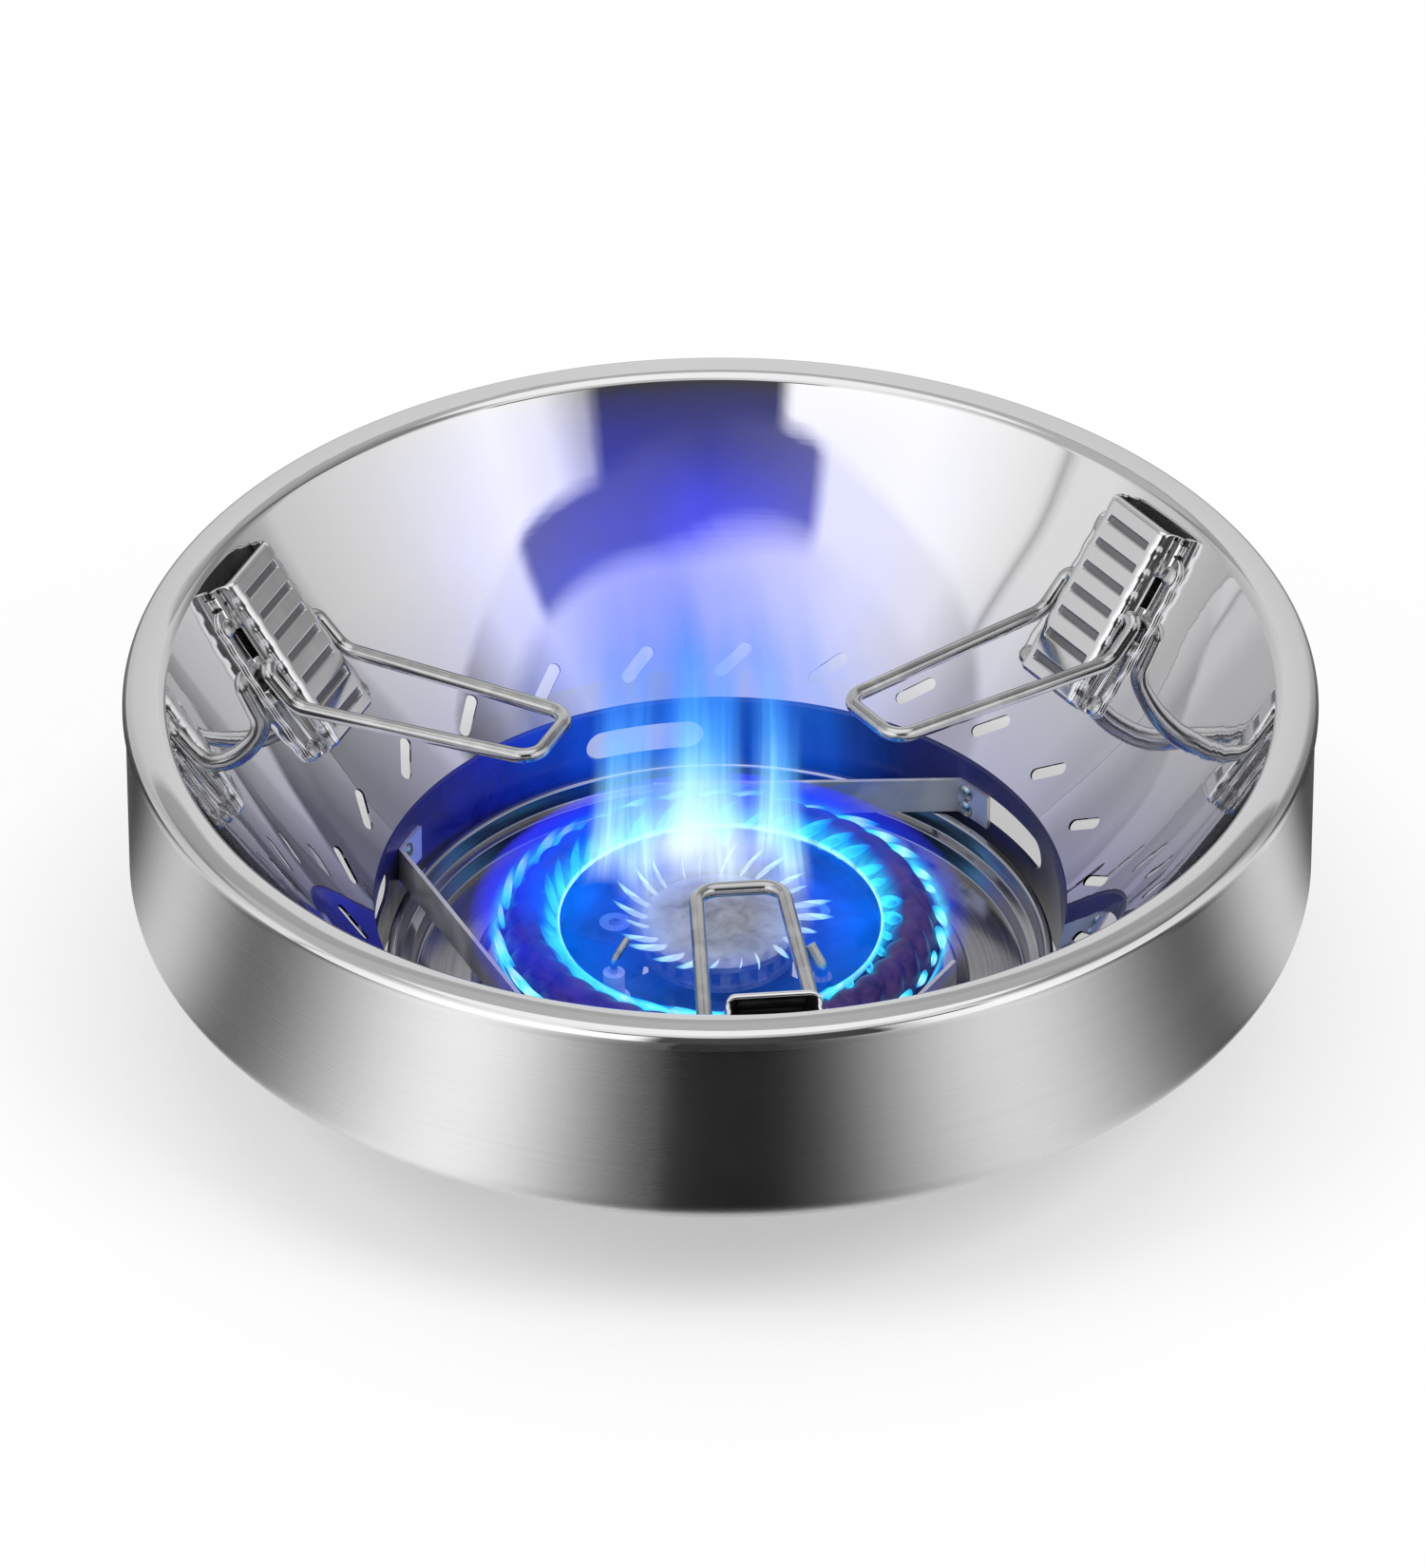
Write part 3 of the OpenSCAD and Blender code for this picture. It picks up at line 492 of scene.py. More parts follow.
POLISHED, FLAME_LIT_BLUE, FLAME_LIT_DEEP_BLUE = (0.715, 0.716, 0.722), (0.64, 0.64, 0.73), (0.58, 0.58, 0.75)
bowl_steel, tree, surface = finish("bowl_steel", POLISHED, 0.05, 0.96)
marks = effect(tree, handling, Size=14.0, Amount=0.025)
rings = effect(tree, spun_rings, Rings_per_metre=500.0, Streak=2.0)
tree.links.new(calc(tree, "ADD", marks["Dullness"], 0.01), surface["Roughness"])
spot = shade(tree, "TexCoord").outputs["Object"]
above = shade(tree, "SeparateXYZ", {0: spot}).outputs["Z"]
# Bluer toward the throat, with a patchy edge: painted blue light of the flames on the wall.
height = calc(tree, "MULTIPLY_ADD", marks["Height"], 12 * MM, above)
heat = shade(tree, "MapRange", {"Value": height, "From Min": 34 * MM, "From Max": 66 * MM}).outputs[0]
tree.links.new(ramp(tree, heat, [(0.0, FLAME_LIT_DEEP_BLUE), (0.4, FLAME_LIT_BLUE), (1.0, POLISHED)]), surface["Base Color"])
uneven = shade(tree, "TexNoise", {"Vector": spot, "Scale": 13.0, "Detail": 0.5}).outputs["Fac"]
fine = calc(tree, "MULTIPLY_ADD", rings["Lines"], 0.02, marks["Height"])
wave = calc(tree, "MULTIPLY_ADD", fine, 0.028, uneven)
bump = shade(tree, "Bump", {"Height": wave, "Strength": 1.0, "Distance": 0.003})
tree.links.new(bump.outputs[0], surface["Normal"])
bowl = make_piece("polished_bowl", points, normals, faces, bowl_steel)
seat(bowl, "windshield", "bowl_steel", "reflector_bowl")


# Outer band: a ring of stainless strip under the bowl's lip, brushed round its outside,
# with a rolled hem at the bottom. The lip is crimped over its top edge.
band_steel, tree, surface = finish("band_steel", (0.72, 0.72, 0.72), 0.3)
rings = effect(tree, spun_rings, Rings_per_metre=3600.0, Streak=1.2)
marks = effect(tree, handling, Size=9.0, Amount=0.06)
dull = calc(tree, "MULTIPLY_ADD", rings["Lines"], 0.06, 0.24)
tree.links.new(calc(tree, "ADD", dull, marks["Dullness"]), surface["Roughness"])
tint = ramp(tree, rings["Lines"], [(0.3, (0.70, 0.70, 0.70)), (0.7, (0.75, 0.75, 0.75))])
tree.links.new(tint, surface["Base Color"])
wave = calc(tree, "MULTIPLY_ADD", rings["Lines"], 0.006, marks["Height"])
bump = shade(tree, "Bump", {"Height": wave, "Strength": 0.04, "Distance": 0.004})
tree.links.new(bump.outputs[0], surface["Normal"])
brush(tree, surface, 0.85)
band_path = rounded([(134.35, 83.55), (134.35, 32.0, 8.0), (120.35, 32.0)], -1, 16)
band = make_piece("brushed_band", *turned(ribbon(band_path, SHEET), SLOTS * sector_cuts), band_steel)
seat(band, "windshield", "band_steel", "outer_band")


# Support brackets: channels pressed from bright sheet, with grooves across the face that
# scallop its shoulders, side flanges riveted to the bowl, and an ear under each loop arm.
BRACKET_TURNS = [math.radians(a) for a in (35.6, 155.6, 275.6)]
face_low, face_slope = Vector((91.35, 47.98)), math.radians(54.694)
BRACKET_LEN, BRACKET_HALF, SHOULDER, FLANGE, GAUGE = 46.3, 10.4, 2.2, 4.8, 0.8
FOLD, END_LIP, BULGE, SCALLOP, SCALLOP_HALF, SCALLOP_EASE = 1.3, 1.5, 0.15, 0.25, 1.9, 1.6
FLANGE_LOW_ROUND, FLANGE_HIGH_ROUND, FLANGE_HIGH, FLANGE_RIPPLE = 2.5, 3.0, 38.5, 0.15
GROOVES, GROOVE_STEP, GROOVE_DEPTH, GROOVE_HALF, GROOVE_EASE, GROOVE_END = 7, 6, 0.8, 1.1, 0.35, 7.4
SIDE_SLOT, SLOT_COLUMNS, BRACKET_ROWS = (27.5, 35.5), range(8, 13), 210
groove_ups = [BRACKET_LEN - GROOVE_STEP * (k + 0.9) for k in range(GROOVES)]


def on_face(x, y, z):
    """Point (r, sideways, height) from a place across, up and off a bracket's face."""
    c, s = math.cos(face_slope), math.sin(face_slope)
    return Vector((face_low.x + c * y - s * z, -x, face_low.y + s * y + c * z))


def wall_under(x, y):
    """Depth of the bowl's wall below a bracket's face."""
    low, high = -30.0, 12.0
    for _ in range(30):
        middle = (low + high) / 2
        spot = on_face(x, y, middle)
        beyond = (Vector((math.hypot(spot.x, spot.y), spot.z)) - bow_mid).length > bow_r
        low, high = (middle, high) if beyond else (low, middle)
    return (low + high) / 2


def ease(value):
    """Smooth step from 0 to 1."""
    value = min(max(value, 0.0), 1.0)
    return value * value * (3 - 2 * value)


def mixed(tree, share, first, second):
    return shade(tree, "Mix", {0: share, 6: first, 7: second}, data_type="RGBA").outputs[2]


bracket_points, bracket_faces, bracket_painted_groove_shade = [], [], []
rows = span(0, BRACKET_LEN, BRACKET_ROWS)
for y in rows:
    press = max(ease((GROOVE_HALF - abs(y - up)) / GROOVE_EASE) for up in groove_ups)
    pinch = max(ease((SCALLOP_HALF - abs(y - up)) / SCALLOP_EASE) for up in groove_ups)
    end = max(0.0, (y - BRACKET_LEN + END_LIP) / END_LIP, (END_LIP - y) / END_LIP)
    lip = END_LIP * (1 - math.sqrt(1 - end * end))
    corner = max(0.0, (y - FLANGE_HIGH) / FLANGE_HIGH_ROUND, (FLANGE_LOW_ROUND - y) / FLANGE_LOW_ROUND)
    reach = FOLD + (FLANGE - FOLD) * math.sqrt(max(0.0, 1 - corner ** 2))
    reach += FLANGE_RIPPLE * math.sin(y * math.tau / GROOVE_STEP)
    half = []
    for x in span(BRACKET_HALF + reach, BRACKET_HALF + FOLD, 7):
        half.append((x, wall_under(x, y) + GAUGE))
    ground = half[-1][1]
    for a in span(0, math.pi / 2, 7)[1:]:
        half.append((BRACKET_HALF + FOLD * (1 - math.sin(a)), ground + FOLD * (1 - math.cos(a))))
    side_low = half[-1][1]
    for t in span(0, 1, 10)[1:]:
        half.append((BRACKET_HALF + BULGE * math.sin(math.pi * t), side_low - (side_low + SHOULDER) * t))
    for a in span(0, math.pi / 2, 9)[1:]:
        half.append((BRACKET_HALF - SHOULDER * (1 - math.cos(a)), -SHOULDER * (1 - math.sin(a))))
    flat = span(BRACKET_HALF - SHOULDER, 7.5, 4)[1:] + span(GROOVE_END, 6.9, 4) + span(6, 0, 7)
    half += [(x, 0) for x in flat]
    section, painted_groove_shade = [], []
    for x, z in half:
        x -= SCALLOP * pinch * ease((z + 2.3) / 1.3) * ease((x - 7) / 2)
        sunk = press * ease((GROOVE_END - x) / 0.4)
        section.append((x, z - GROOVE_DEPTH * sunk - lip * ease((z + 3) / 3)))
        # Each groove's depth also darkens the colour there: painted shade in the grooves.
        painted_groove_shade.append(sunk)
    section += [(-x, z) for x, z in reversed(section[:-1])]
    bracket_points += [on_face(x, y, z) for x, z in section]
    bracket_painted_groove_shade += painted_groove_shade + painted_groove_shade[-2::-1]
wide = len(section)
for j in range(len(rows) - 1):
    for i in range(wide - 1):
        a = j * wide + i
        in_slot = SIDE_SLOT[0] < rows[j] < SIDE_SLOT[1] and min(i, wide - 2 - i) in SLOT_COLUMNS
        if not in_slot:
            bracket_faces.append((a, a + wide, a + wide + 1, a + 1))

# Bright steel that turns dark and duller in the grooves: painted shade in the recesses.
BRIGHT, GROOVE_SHADE = (0.74, 0.74, 0.75), (0.22, 0.22, 0.23)
bracket_steel, tree, surface = finish("bracket_steel", BRIGHT, 0.16)
marks = effect(tree, handling, Size=80.0, Amount=0.12)
painted_groove_shade_mask = shade(tree, "Attribute", attribute_name="painted_groove_shade").outputs["Fac"]
tree.links.new(mixed(tree, painted_groove_shade_mask, (*BRIGHT, 1), (*GROOVE_SHADE, 1)), surface["Base Color"])
dull = calc(tree, "MULTIPLY_ADD", painted_groove_shade_mask, 0.25, 0.14)
tree.links.new(calc(tree, "ADD", marks["Dullness"], dull), surface["Roughness"])
bump = shade(tree, "Bump", {"Height": marks["Height"], "Strength": 0.05, "Distance": 0.001})
tree.links.new(bump.outputs[0], surface["Normal"])

# The channel's inner side, towards the bowl's wall, is near black: painted shade under the pressed face.
bracket_painted_shade_black, tree, surface = finish("bracket_painted_shade_black", (0.015, 0.015, 0.016), 0.6, 0.0)
marks = effect(tree, handling, Size=120.0)
tint = ramp(tree, marks["Height"], [(0.3, (0.008, 0.008, 0.008)), (0.7, (0.035, 0.034, 0.034))])
tree.links.new(tint, surface["Base Color"])


def spun_to(points, turn):
    """Points turned round the drum's axis."""
    return [Matrix.Rotation(turn, 3, "Z") @ Vector(p) for p in points]


EAR_ALONG, EAR_ACROSS, EAR_MIDDLE, EAR_TOP, EAR_SLOPE = (16.6, 20.4), (10.0, 14.4), 18.5, -4.5, 0.135
ear_points, ear_faces = [], []
for side in (1, -1):
    base = len(ear_points)
    for y in EAR_ALONG:
        rest = EAR_TOP - EAR_SLOPE * (y - EAR_MIDDLE)
        for x in EAR_ACROSS:
            ear_points += [on_face(x * side, y, wall_under(x, y) + 0.1), on_face(x * side, y, rest)]
    sides = [(0, 1, 3, 2), (4, 6, 7, 5), (0, 4, 5, 1), (2, 3, 7, 6), (1, 5, 7, 3), (0, 2, 6, 4)]
    ear_faces += [tuple(base + i for i in (f if side > 0 else reversed(f))) for f in sides]

for k, turn in enumerate(BRACKET_TURNS, 1):
    here = spun_to(bracket_points, turn)
    channel = make_piece(f"pressed_bracket_{k}", here, None, bracket_faces, bracket_steel)
    channel.data.attributes.new("painted_groove_shade", "FLOAT", "POINT").data.foreach_set("value", bracket_painted_groove_shade)
    gauge = channel.modifiers.new("gauge", "SOLIDIFY")
    # The inner shell of the gauge takes the near-black painted shade.
    gauge.thickness, gauge.offset, gauge.material_offset = GAUGE * MM, -1, 1
    channel.data.materials.append(bracket_painted_shade_black)
    seat(channel, "windshield", "bracket_steel", f"support_bracket_{k}")
    ears = make_piece(f"stop_ears_{k}", spun_to(ear_points, turn), None, ear_faces, bracket_steel)
    round_over = ears.modifiers.new("round_over", "BEVEL")
    round_over.width, round_over.segments = 0.5 * MM, 3
    seat(ears, "windshield", "bracket_steel")


# Pot loops: round stainless wire bent to a long loop, its ends hooked into the bracket's
# sides so that it folds. It is drawn bright and polished by use.
def bent(corners, steps=9):
    """Middle line through corners (point, bend radius) in space."""
    line = []
    for i, (spot, radius) in enumerate(corners):
        spot = Vector(spot)
        if not radius:
            line.append(spot)
            continue
        before = (Vector(corners[i - 1][0]) - spot).normalized()
        after = (Vector(corners[i + 1][0]) - spot).normalized()
        half = before.angle(after) / 2
        centre = spot + (before + after).normalized() * radius / math.sin(half)
        first = (spot + before * radius / math.tan(half) - centre).normalized()
        last = (spot + after * radius / math.tan(half) - centre).normalized()
        line += [centre + radius * first.slerp(last, k / steps) for k in range(steps + 1)]
    return line


def tube(line, radius, sides=20):
    """Points, normals and faces of round wire along a line, with flat ends."""
    points, normals, faces = [], [], []
    run = (line[1] - line[0]).normalized()
    side = run.orthogonal().normalized()
    for i, spot in enumerate(line):
        onward = (line[min(i + 1, len(line) - 1)] - line[max(i - 1, 0)]).normalized()
        side = (side - side.dot(onward) * onward).normalized()
        across = onward.cross(side)
        for k in range(sides):
            spoke = math.cos(math.tau * k / sides) * side + math.sin(math.tau * k / sides) * across
            points.append(spot + radius * spoke)
            normals.append(spoke)
    for i in range(len(line) - 1):
        for k in range(sides):
            a, b = i * sides + k, i * sides + (k + 1) % sides
            faces.append((a, b, b + sides, a + sides))
    faces.append(tuple(reversed(range(sides))))
    faces.append(tuple(range((len(line) - 1) * sides, len(line) * sides)))
    return points, normals, faces


WIRE_R = 1.75
half_loop = [
    ((108.179, 7.6, 66.205), 0), ((108.179, 12.9, 66.205), 2.205), ((100.677, 12.9, 58.16), 6.0),
    ((42.0, 9.7, 58.76), 5.0)]
loop_line = bent(half_loop + [((x, -y, z), bend) for (x, y, z), bend in reversed(half_loop)])
wire_steel = patchy(
    finish("wire_steel", (0.55, 0.55, 0.56), 0.14), 120.0, 0.15, 0.1,
    [(0.35, (0.46, 0.46, 0.47)), (0.65, (0.60, 0.60, 0.60))])
points, normals, faces = tube(loop_line, WIRE_R)
for k, turn in enumerate(BRACKET_TURNS, 1):
    loop = make_piece(f"bent_loop_{k}", spun_to(points, turn), spun_to(normals, turn), faces, wire_steel)
    seat(loop, f"loop_{k}", "wire_steel", f"pot_loop_{k}")


# Flames: burning gas over both edges of the crown and round the inner head, a low haze over the
# rings, and the pale sheets that rise from the middle. They are thin glowing skins. Two faint
# glowing sheets in front of the back wall are painted blue flame light.
CYAN, BLUE, TURQUOISE = (0.02, 0.55, 1.0), (0.005, 0.07, 0.95), (0.06, 0.72, 1.0)
PALE, WHITE = (0.45, 0.9, 1.0), (0.85, 0.97, 1.0)


def flame_skin(name, strength, colours, veil, soft=True, grain=(7.0, 1.2), around=None):
    """Glowing skin, coloured and cleared along the second UV by the stops of colours and veil.

    A soft one clears to both sides too, and around gives stops along the first UV.
    """
    material, tree, surface = finish(name, (0.0, 0.01, 0.03), 1.0, 0.0)
    surface["Specular IOR Level"].default_value = 0.0
    surface["Emission Strength"].default_value = strength
    spot = shade(tree, "TexCoord").outputs["UV"]
    place = shade(tree, "SeparateXYZ", {0: spot}).outputs
    tree.links.new(ramp(tree, place["Y"], colours), surface["Emission Color"])
    clear = shade(tree, "RGBToBW", {0: ramp(tree, place["Y"], veil)}).outputs[0]
    stretched = shade(tree, "VectorMath", {0: spot, 1: (*grain, 1)}, operation="MULTIPLY").outputs[0]
    wisp = shade(tree, "TexNoise", {"Vector": stretched, "Scale": 1.0, "Detail": 3.0}).outputs["Fac"]
    wisp = shade(tree, "MapRange", {"Value": wisp, "From Min": 0.32, "From Max": 0.68,
                                    "To Min": 0.45, "To Max": 1.0}).outputs[0]
    clear = calc(tree, "MULTIPLY", clear, wisp)
    if soft:
        side = calc(tree, "MULTIPLY_ADD", calc(tree, "FRACT", place["X"]), 2.0, -1.0)
        side = calc(tree, "ABSOLUTE", side)
        side = shade(tree, "MapRange", {"Value": side, "From Min": 1.0, "From Max": 0.0},
                     interpolation_type="SMOOTHSTEP").outputs[0]
        clear = calc(tree, "MULTIPLY", clear, side)
    if around:
        share = shade(tree, "RGBToBW", {0: ramp(tree, place["X"], around)}).outputs[0]
        clear = calc(tree, "MULTIPLY", clear, share)
    tree.links.new(clear, surface["Alpha"])
    return material


def lit_piece(name, points, faces, places, material):
    """Flame piece with a UV place for each point."""
    piece = make_piece(name, points, None, faces, material)
    layer = piece.data.uv_layers.new(name="place")
    for loop in piece.data.loops:
        layer.data[loop.index].uv = places[loop.vertex_index]
    return piece


def flame_ring(name, material, count, root, tip, width, swirl, first=0.0):
    """Ring of tongues from the root (r, z) to the tip (r, z), leaning round by swirl degrees."""
    points, faces, places = [], [], []
    rows, sides = 10, 8
    for k in range(count):
        # Each tongue stands a little off its place, and is larger or smaller than the next
        base = math.tau * (k + first + 0.12 * math.sin(3.7 * k)) / count
        grow = 1 + 0.2 * math.sin(5.1 * k + 1.3) + 0.12 * math.sin(2.3 * k)
        start = len(points)
        for i in range(rows):
            t = i / (rows - 1)
            r = root[0] + (tip[0] - root[0]) * t * grow
            z = root[1] + (tip[1] - root[1]) * t ** 1.4 * grow
            turn = base + math.radians(swirl) * t ** 1.15 * grow
            girth = width * grow * max(0.05, math.sin(math.pi * (0.2 + 0.8 * t)) ** 0.9)
            for s in range(sides):
                a = math.tau * s / sides
                lift, side = girth * math.cos(a) / 2, girth * math.sin(a) / 3
                points.append(((r + side) * math.cos(turn), (r + side) * math.sin(turn), z + lift))
                places.append((k + s / sides, t))
        for i in range(rows - 1):
            for s in range(sides):
                a, b = start + i * sides + s, start + i * sides + (s + 1) % sides
                faces.append((a, b, b + sides, a + sides))
    return lit_piece(name, points, faces, places, material)


edge_skin = flame_skin(
    "flame_edge", 1.6, [(0.0, CYAN), (0.35, TURQUOISE), (0.6, PALE), (0.85, CYAN), (1.0, BLUE)],
    [(0.0, 0.5), (0.4, 0.95), (1.0, 0.15)], soft=False)
outer_tongues = flame_ring("outer_tongues", edge_skin, CROWN_LOBES, (49.6, 17.4), (51.6, 20.0), 2.7, -12.5)
tongue_skin = flame_skin(
    "flame_tongue", 1.5, [(0.0, TURQUOISE), (0.45, TURQUOISE), (0.75, CYAN), (1.0, BLUE)],
    [(0.0, 0.8), (0.4, 0.75), (1.0, 0.05)], soft=False)
inner_tongues = flame_ring(
    "inner_tongues", tongue_skin, CROWN_LOBES, (37.6, 19.4), (41.4, 24.2), 3.2, -10.0, 0.3)
for piece in (outer_tongues, inner_tongues):
    seat(piece, "crown", "flame")


def flame_hoop(name, path, material, steps=144):
    """Skin turned round the axis along a path of (r, z)."""
    points, faces, places = [], [], []
    for k in range(steps + 1):
        turn = math.tau * k / steps
        for i, (r, z) in enumerate(path):
            points.append((r * math.cos(turn), r * math.sin(turn), z))
            places.append((k / steps, i / (len(path) - 1)))
    count = len(path)
    for k in range(steps):
        for i in range(count - 1):
            a = k * count + i
            faces.append((a, a + count, a + count + 1, a + 1))
    return lit_piece(name, points, faces, places, material)


line_skin = flame_skin(
    "flame_line", 1.8, [(0.0, CYAN), (0.2, PALE), (0.4, TURQUOISE), (0.7, CYAN), (1.0, BLUE)],
    [(0.0, 0.5), (0.2, 1.0), (0.4, 0.75), (0.7, 0.45), (1.0, 0.0)], soft=False, grain=(70.0, 0.8))
line_path = [(37.5, 18.7), (36.7, 19.7), (37.4, 20.8), (38.6, 22.2), (40.2, 23.4), (42.2, 24.2)]
seat(flame_hoop("inner_flame_line", line_path, line_skin), "crown", "flame")
fringe_skin = flame_skin(
    "flame_fringe", 1.6, [(0.0, BLUE), (0.25, TURQUOISE), (0.55, BLUE), (1.0, (0.05, 0.05, 1.0))],
    [(0.0, 0.2), (0.25, 0.85), (0.5, 0.35), (0.7, 0.15), (1.0, 0.0)], soft=False, grain=(70.0, 0.6))
fringe_path = [(50.3, 15.2), (51.4, 16.8), (53.0, 18.6), (55.0, 20.0), (57.5, 20.6)]
seat(flame_hoop("outer_flame_line", fringe_path, fringe_skin), "crown", "flame")
pool_skin = flame_skin(
    "flame_pool", 1.25,
    [(0.0, (0.5, 0.55, 1.0)), (0.3, (0.4, 0.55, 1.0)), (0.5, (0.02, 0.12, 1.0)), (1.0, (0.0, 0.16, 1.0))],
    [(0.0, 0.0), (0.35, 0.7), (0.55, 0.9), (1.0, 0.9)], soft=False, grain=(9.0, 2.0),
    around=[(0.0, 0.9), (0.25, 1.0), (0.5, 1.0), (0.62, 0.6), (0.75, 0.32), (0.88, 0.55), (1.0, 0.9)])
pool_path = [(7 + 30 * t, 22.6 - 2.8 * t * t) for t in span(0, 1, 12)]
seat(flame_hoop("gas_pool", pool_path, pool_skin), "burner", "flame")
haze_skin = flame_skin(
    "flame_haze", 1.8, [(0.0, (0.0, 0.12, 0.9)), (0.5, (0.01, 0.025, 0.7)), (1.0, (0.05, 0.03, 0.9))],
    [(0.0, 0.5), (0.4, 0.9), (0.65, 0.7), (1.0, 0.0)], soft=False, grain=(14.0, 3.0),
    around=[(0.0, 0.12), (0.08, 0.3), (0.17, 0.85), (0.25, 1.0), (0.5, 1.0), (0.6, 0.4), (0.7, 0.14),
            (0.88, 0.08), (1.0, 0.12)])
haze_path = [(37 + 21 * t, 21 + 5 * math.sin(math.pi * t) ** 0.7 - 2 * t) for t in span(0, 1, 13)]
seat(flame_hoop("gas_haze", haze_path, haze_skin), "burner", "flame")

HEAD_STREAKS = 24
streak_skin = flame_skin(
    "flame_streak", 1.25, [(0.0, WHITE), (0.35, (0.6, 0.86, 1.0)), (0.7, PALE), (1.0, CYAN)],
    [(0.0, 0.35), (0.4, 0.75), (0.75, 0.5), (1.0, 0.0)], soft=False)
streaks = flame_ring("head_streaks", streak_skin, HEAD_STREAKS, (16.8, 20.8), (25.0, 23.4), 1.7, -8.0)
seat(streaks, "burner", "flame")


def off_seam(share):
    """Place across a sheet, kept just inside it, where the skin's pattern starts again."""
    return min(max(share, 0.001), 0.999)


def rising_sheet(base, top, widths, bow, k):
    """Upright strip of flame from base to top, bowed to one side; k is its place in the pattern."""
    points, faces, places = [], [], []
    rows, columns = 14, 9
    for i in range(rows):
        v = i / (rows - 1)
        middle = Vector(base).lerp(Vector(top), v)
        wide = widths[0] + (widths[1] - widths[0]) * v
        for j in range(columns):
            u = j / (columns - 1)
            aside = wide * (u - 0.5) + bow * math.sin(math.pi * v) * 1.5
            points.append((middle.x + aside, middle.y + bow * math.sin(math.pi * u) * 2, middle.z))
            places.append((k + off_seam(u), v))
    for i in range(rows - 1):
        for j in range(columns - 1):
            a = i * columns + j
            faces.append((a, a + 1, a + columns + 1, a + columns))
    return points, faces, places


sheet_skin = flame_skin(
    "flame_sheet", 1.7, [(0.0, WHITE), (0.25, PALE), (0.55, (0.12, 0.5, 1.0)), (1.0, BLUE)],
    [(0.0, 0.0), (0.15, 0.7), (0.5, 0.5), (1.0, 0.0)])
SHEET_LOW, SHEET_BOW, SHEET_GATHER = 22.5, 1.2, 0.95
points, faces, places = [], [], []
for k, (x, y, lean, tall, low_w, high_w) in enumerate((
        (-27, 8, 20, 76, 12, 10), (-18, 5, 24, 83, 14, 10), (-8, 9, 26, 85.5, 16, 12),
        (2, 6, 25, 85.5, 14, 10), (10, 10, 22, 82, 12, 9), (17, 7, 18, 74, 11, 9),
        (-10, 12, 20, 66, 26, 16))):
    foot, tip = (x, y, SHEET_LOW), (x * SHEET_GATHER, y + lean, tall)
    part = rising_sheet(foot, tip, (low_w, high_w), (-1) ** k * SHEET_BOW, k)
    faces += [tuple(i + len(points) for i in f) for f in part[1]]
    points += part[0]
    places += part[2]
seat(lit_piece("rising_flames", points, faces, places, sheet_skin), "burner", "flame")
# A wide faint glowing sheet in front of the back wall, which reflections don't show: painted blue flame
# light on the back wall.
back_glow_skin = flame_skin(
    "painted_back_glow", 1.2, [(0.0, (0.0, 0.08, 1.0)), (0.5, (0.02, 0.22, 1.0)), (1.0, (0.08, 0.15, 1.0))],
    [(0.0, 0.0), (0.2, 0.8), (0.55, 0.75), (1.0, 0.0)], grain=(11.0, 0.8))
back_glow_sheet = rising_sheet((-6, 48, 14), (-9, 84, 66), (118, 94), 2.0, 0)
back_glow_piece = lit_piece("painted_back_glow", *back_glow_sheet, back_glow_skin)
back_glow_piece.visible_glossy = False
seat(back_glow_piece, "windshield", "flame")
core_skin = flame_skin(
    "flame_core", 1.1, [(0.0, (0.6, 0.7, 1.0)), (0.4, (0.86, 0.88, 1.0)), (1.0, PALE)],
    [(0.0, 0.0), (0.35, 0.95), (0.6, 0.6), (1.0, 0.0)], grain=(2.0, 1.0))
core_sheet = rising_sheet((-5, 0, 23.5), (-6, 18, 54), (44, 32), 1.0, 0)
seat(lit_piece("flame_core", *core_sheet, core_skin), "burner", "flame")

# A faint glowing sheet just off the back wall, which reflections don't show: painted blue flame light on
# the wall.
wall_glow_skin = flame_skin(
    "painted_wall_glow", 4.0, [(0.0, (0.04, 0.10, 1.0)), (0.5, (0.05, 0.06, 1.0)), (1.0, (0.01, 0.015, 0.6))],
    [(0.0, 0.12), (0.3, 0.24), (0.6, 0.22), (0.85, 0.13), (0.96, 0.06), (1.0, 0.0)], grain=(2.5, 1.5))
WALL_GLOW_ROWS, WALL_GLOW_COLUMNS, WALL_GLOW_OFF = 16, 25, (3.0, 1.2)
wall_glow_turns = span(math.radians(52), math.radians(140), WALL_GLOW_COLUMNS)
points, faces, places = [], [], []
for i, up in enumerate(span(6, wall_len - 1.7, WALL_GLOW_ROWS)):
    share = i / (WALL_GLOW_ROWS - 1)
    spot, inward = wall_at(up)
    place = spot + (WALL_GLOW_OFF[0] + (WALL_GLOW_OFF[1] - WALL_GLOW_OFF[0]) * share) * inward
    for j, turn in enumerate(wall_glow_turns):
        points.append((place.x * math.cos(turn), place.x * math.sin(turn), place.y))
        places.append((off_seam(j / (WALL_GLOW_COLUMNS - 1)), share))
        if i and j:
            a = i * WALL_GLOW_COLUMNS + j
            faces.append((a, a - 1, a - WALL_GLOW_COLUMNS - 1, a - WALL_GLOW_COLUMNS))
veil = lit_piece("painted_wall_glow", points, faces, places, wall_glow_skin)
veil.visible_glossy = False
seat(veil, "windshield", "flame")


# Stage: a pale floor, two soft lamps, the blue light of the burning gas, and a studio tent that
# only reflections show, outside the drum in place of the floor. The tent's light and dark panels
# were set with brightness readings of the photograph as a guide.
def blank(name):
    """Empty material for the stage: itself, its tree and the socket for its surface."""
    material = bpy.data.materials.new(name)
    material.use_nodes = True
    material.node_tree.nodes.clear()
    return material, material.node_tree, shade(material.node_tree, "OutputMaterial").inputs["Surface"]


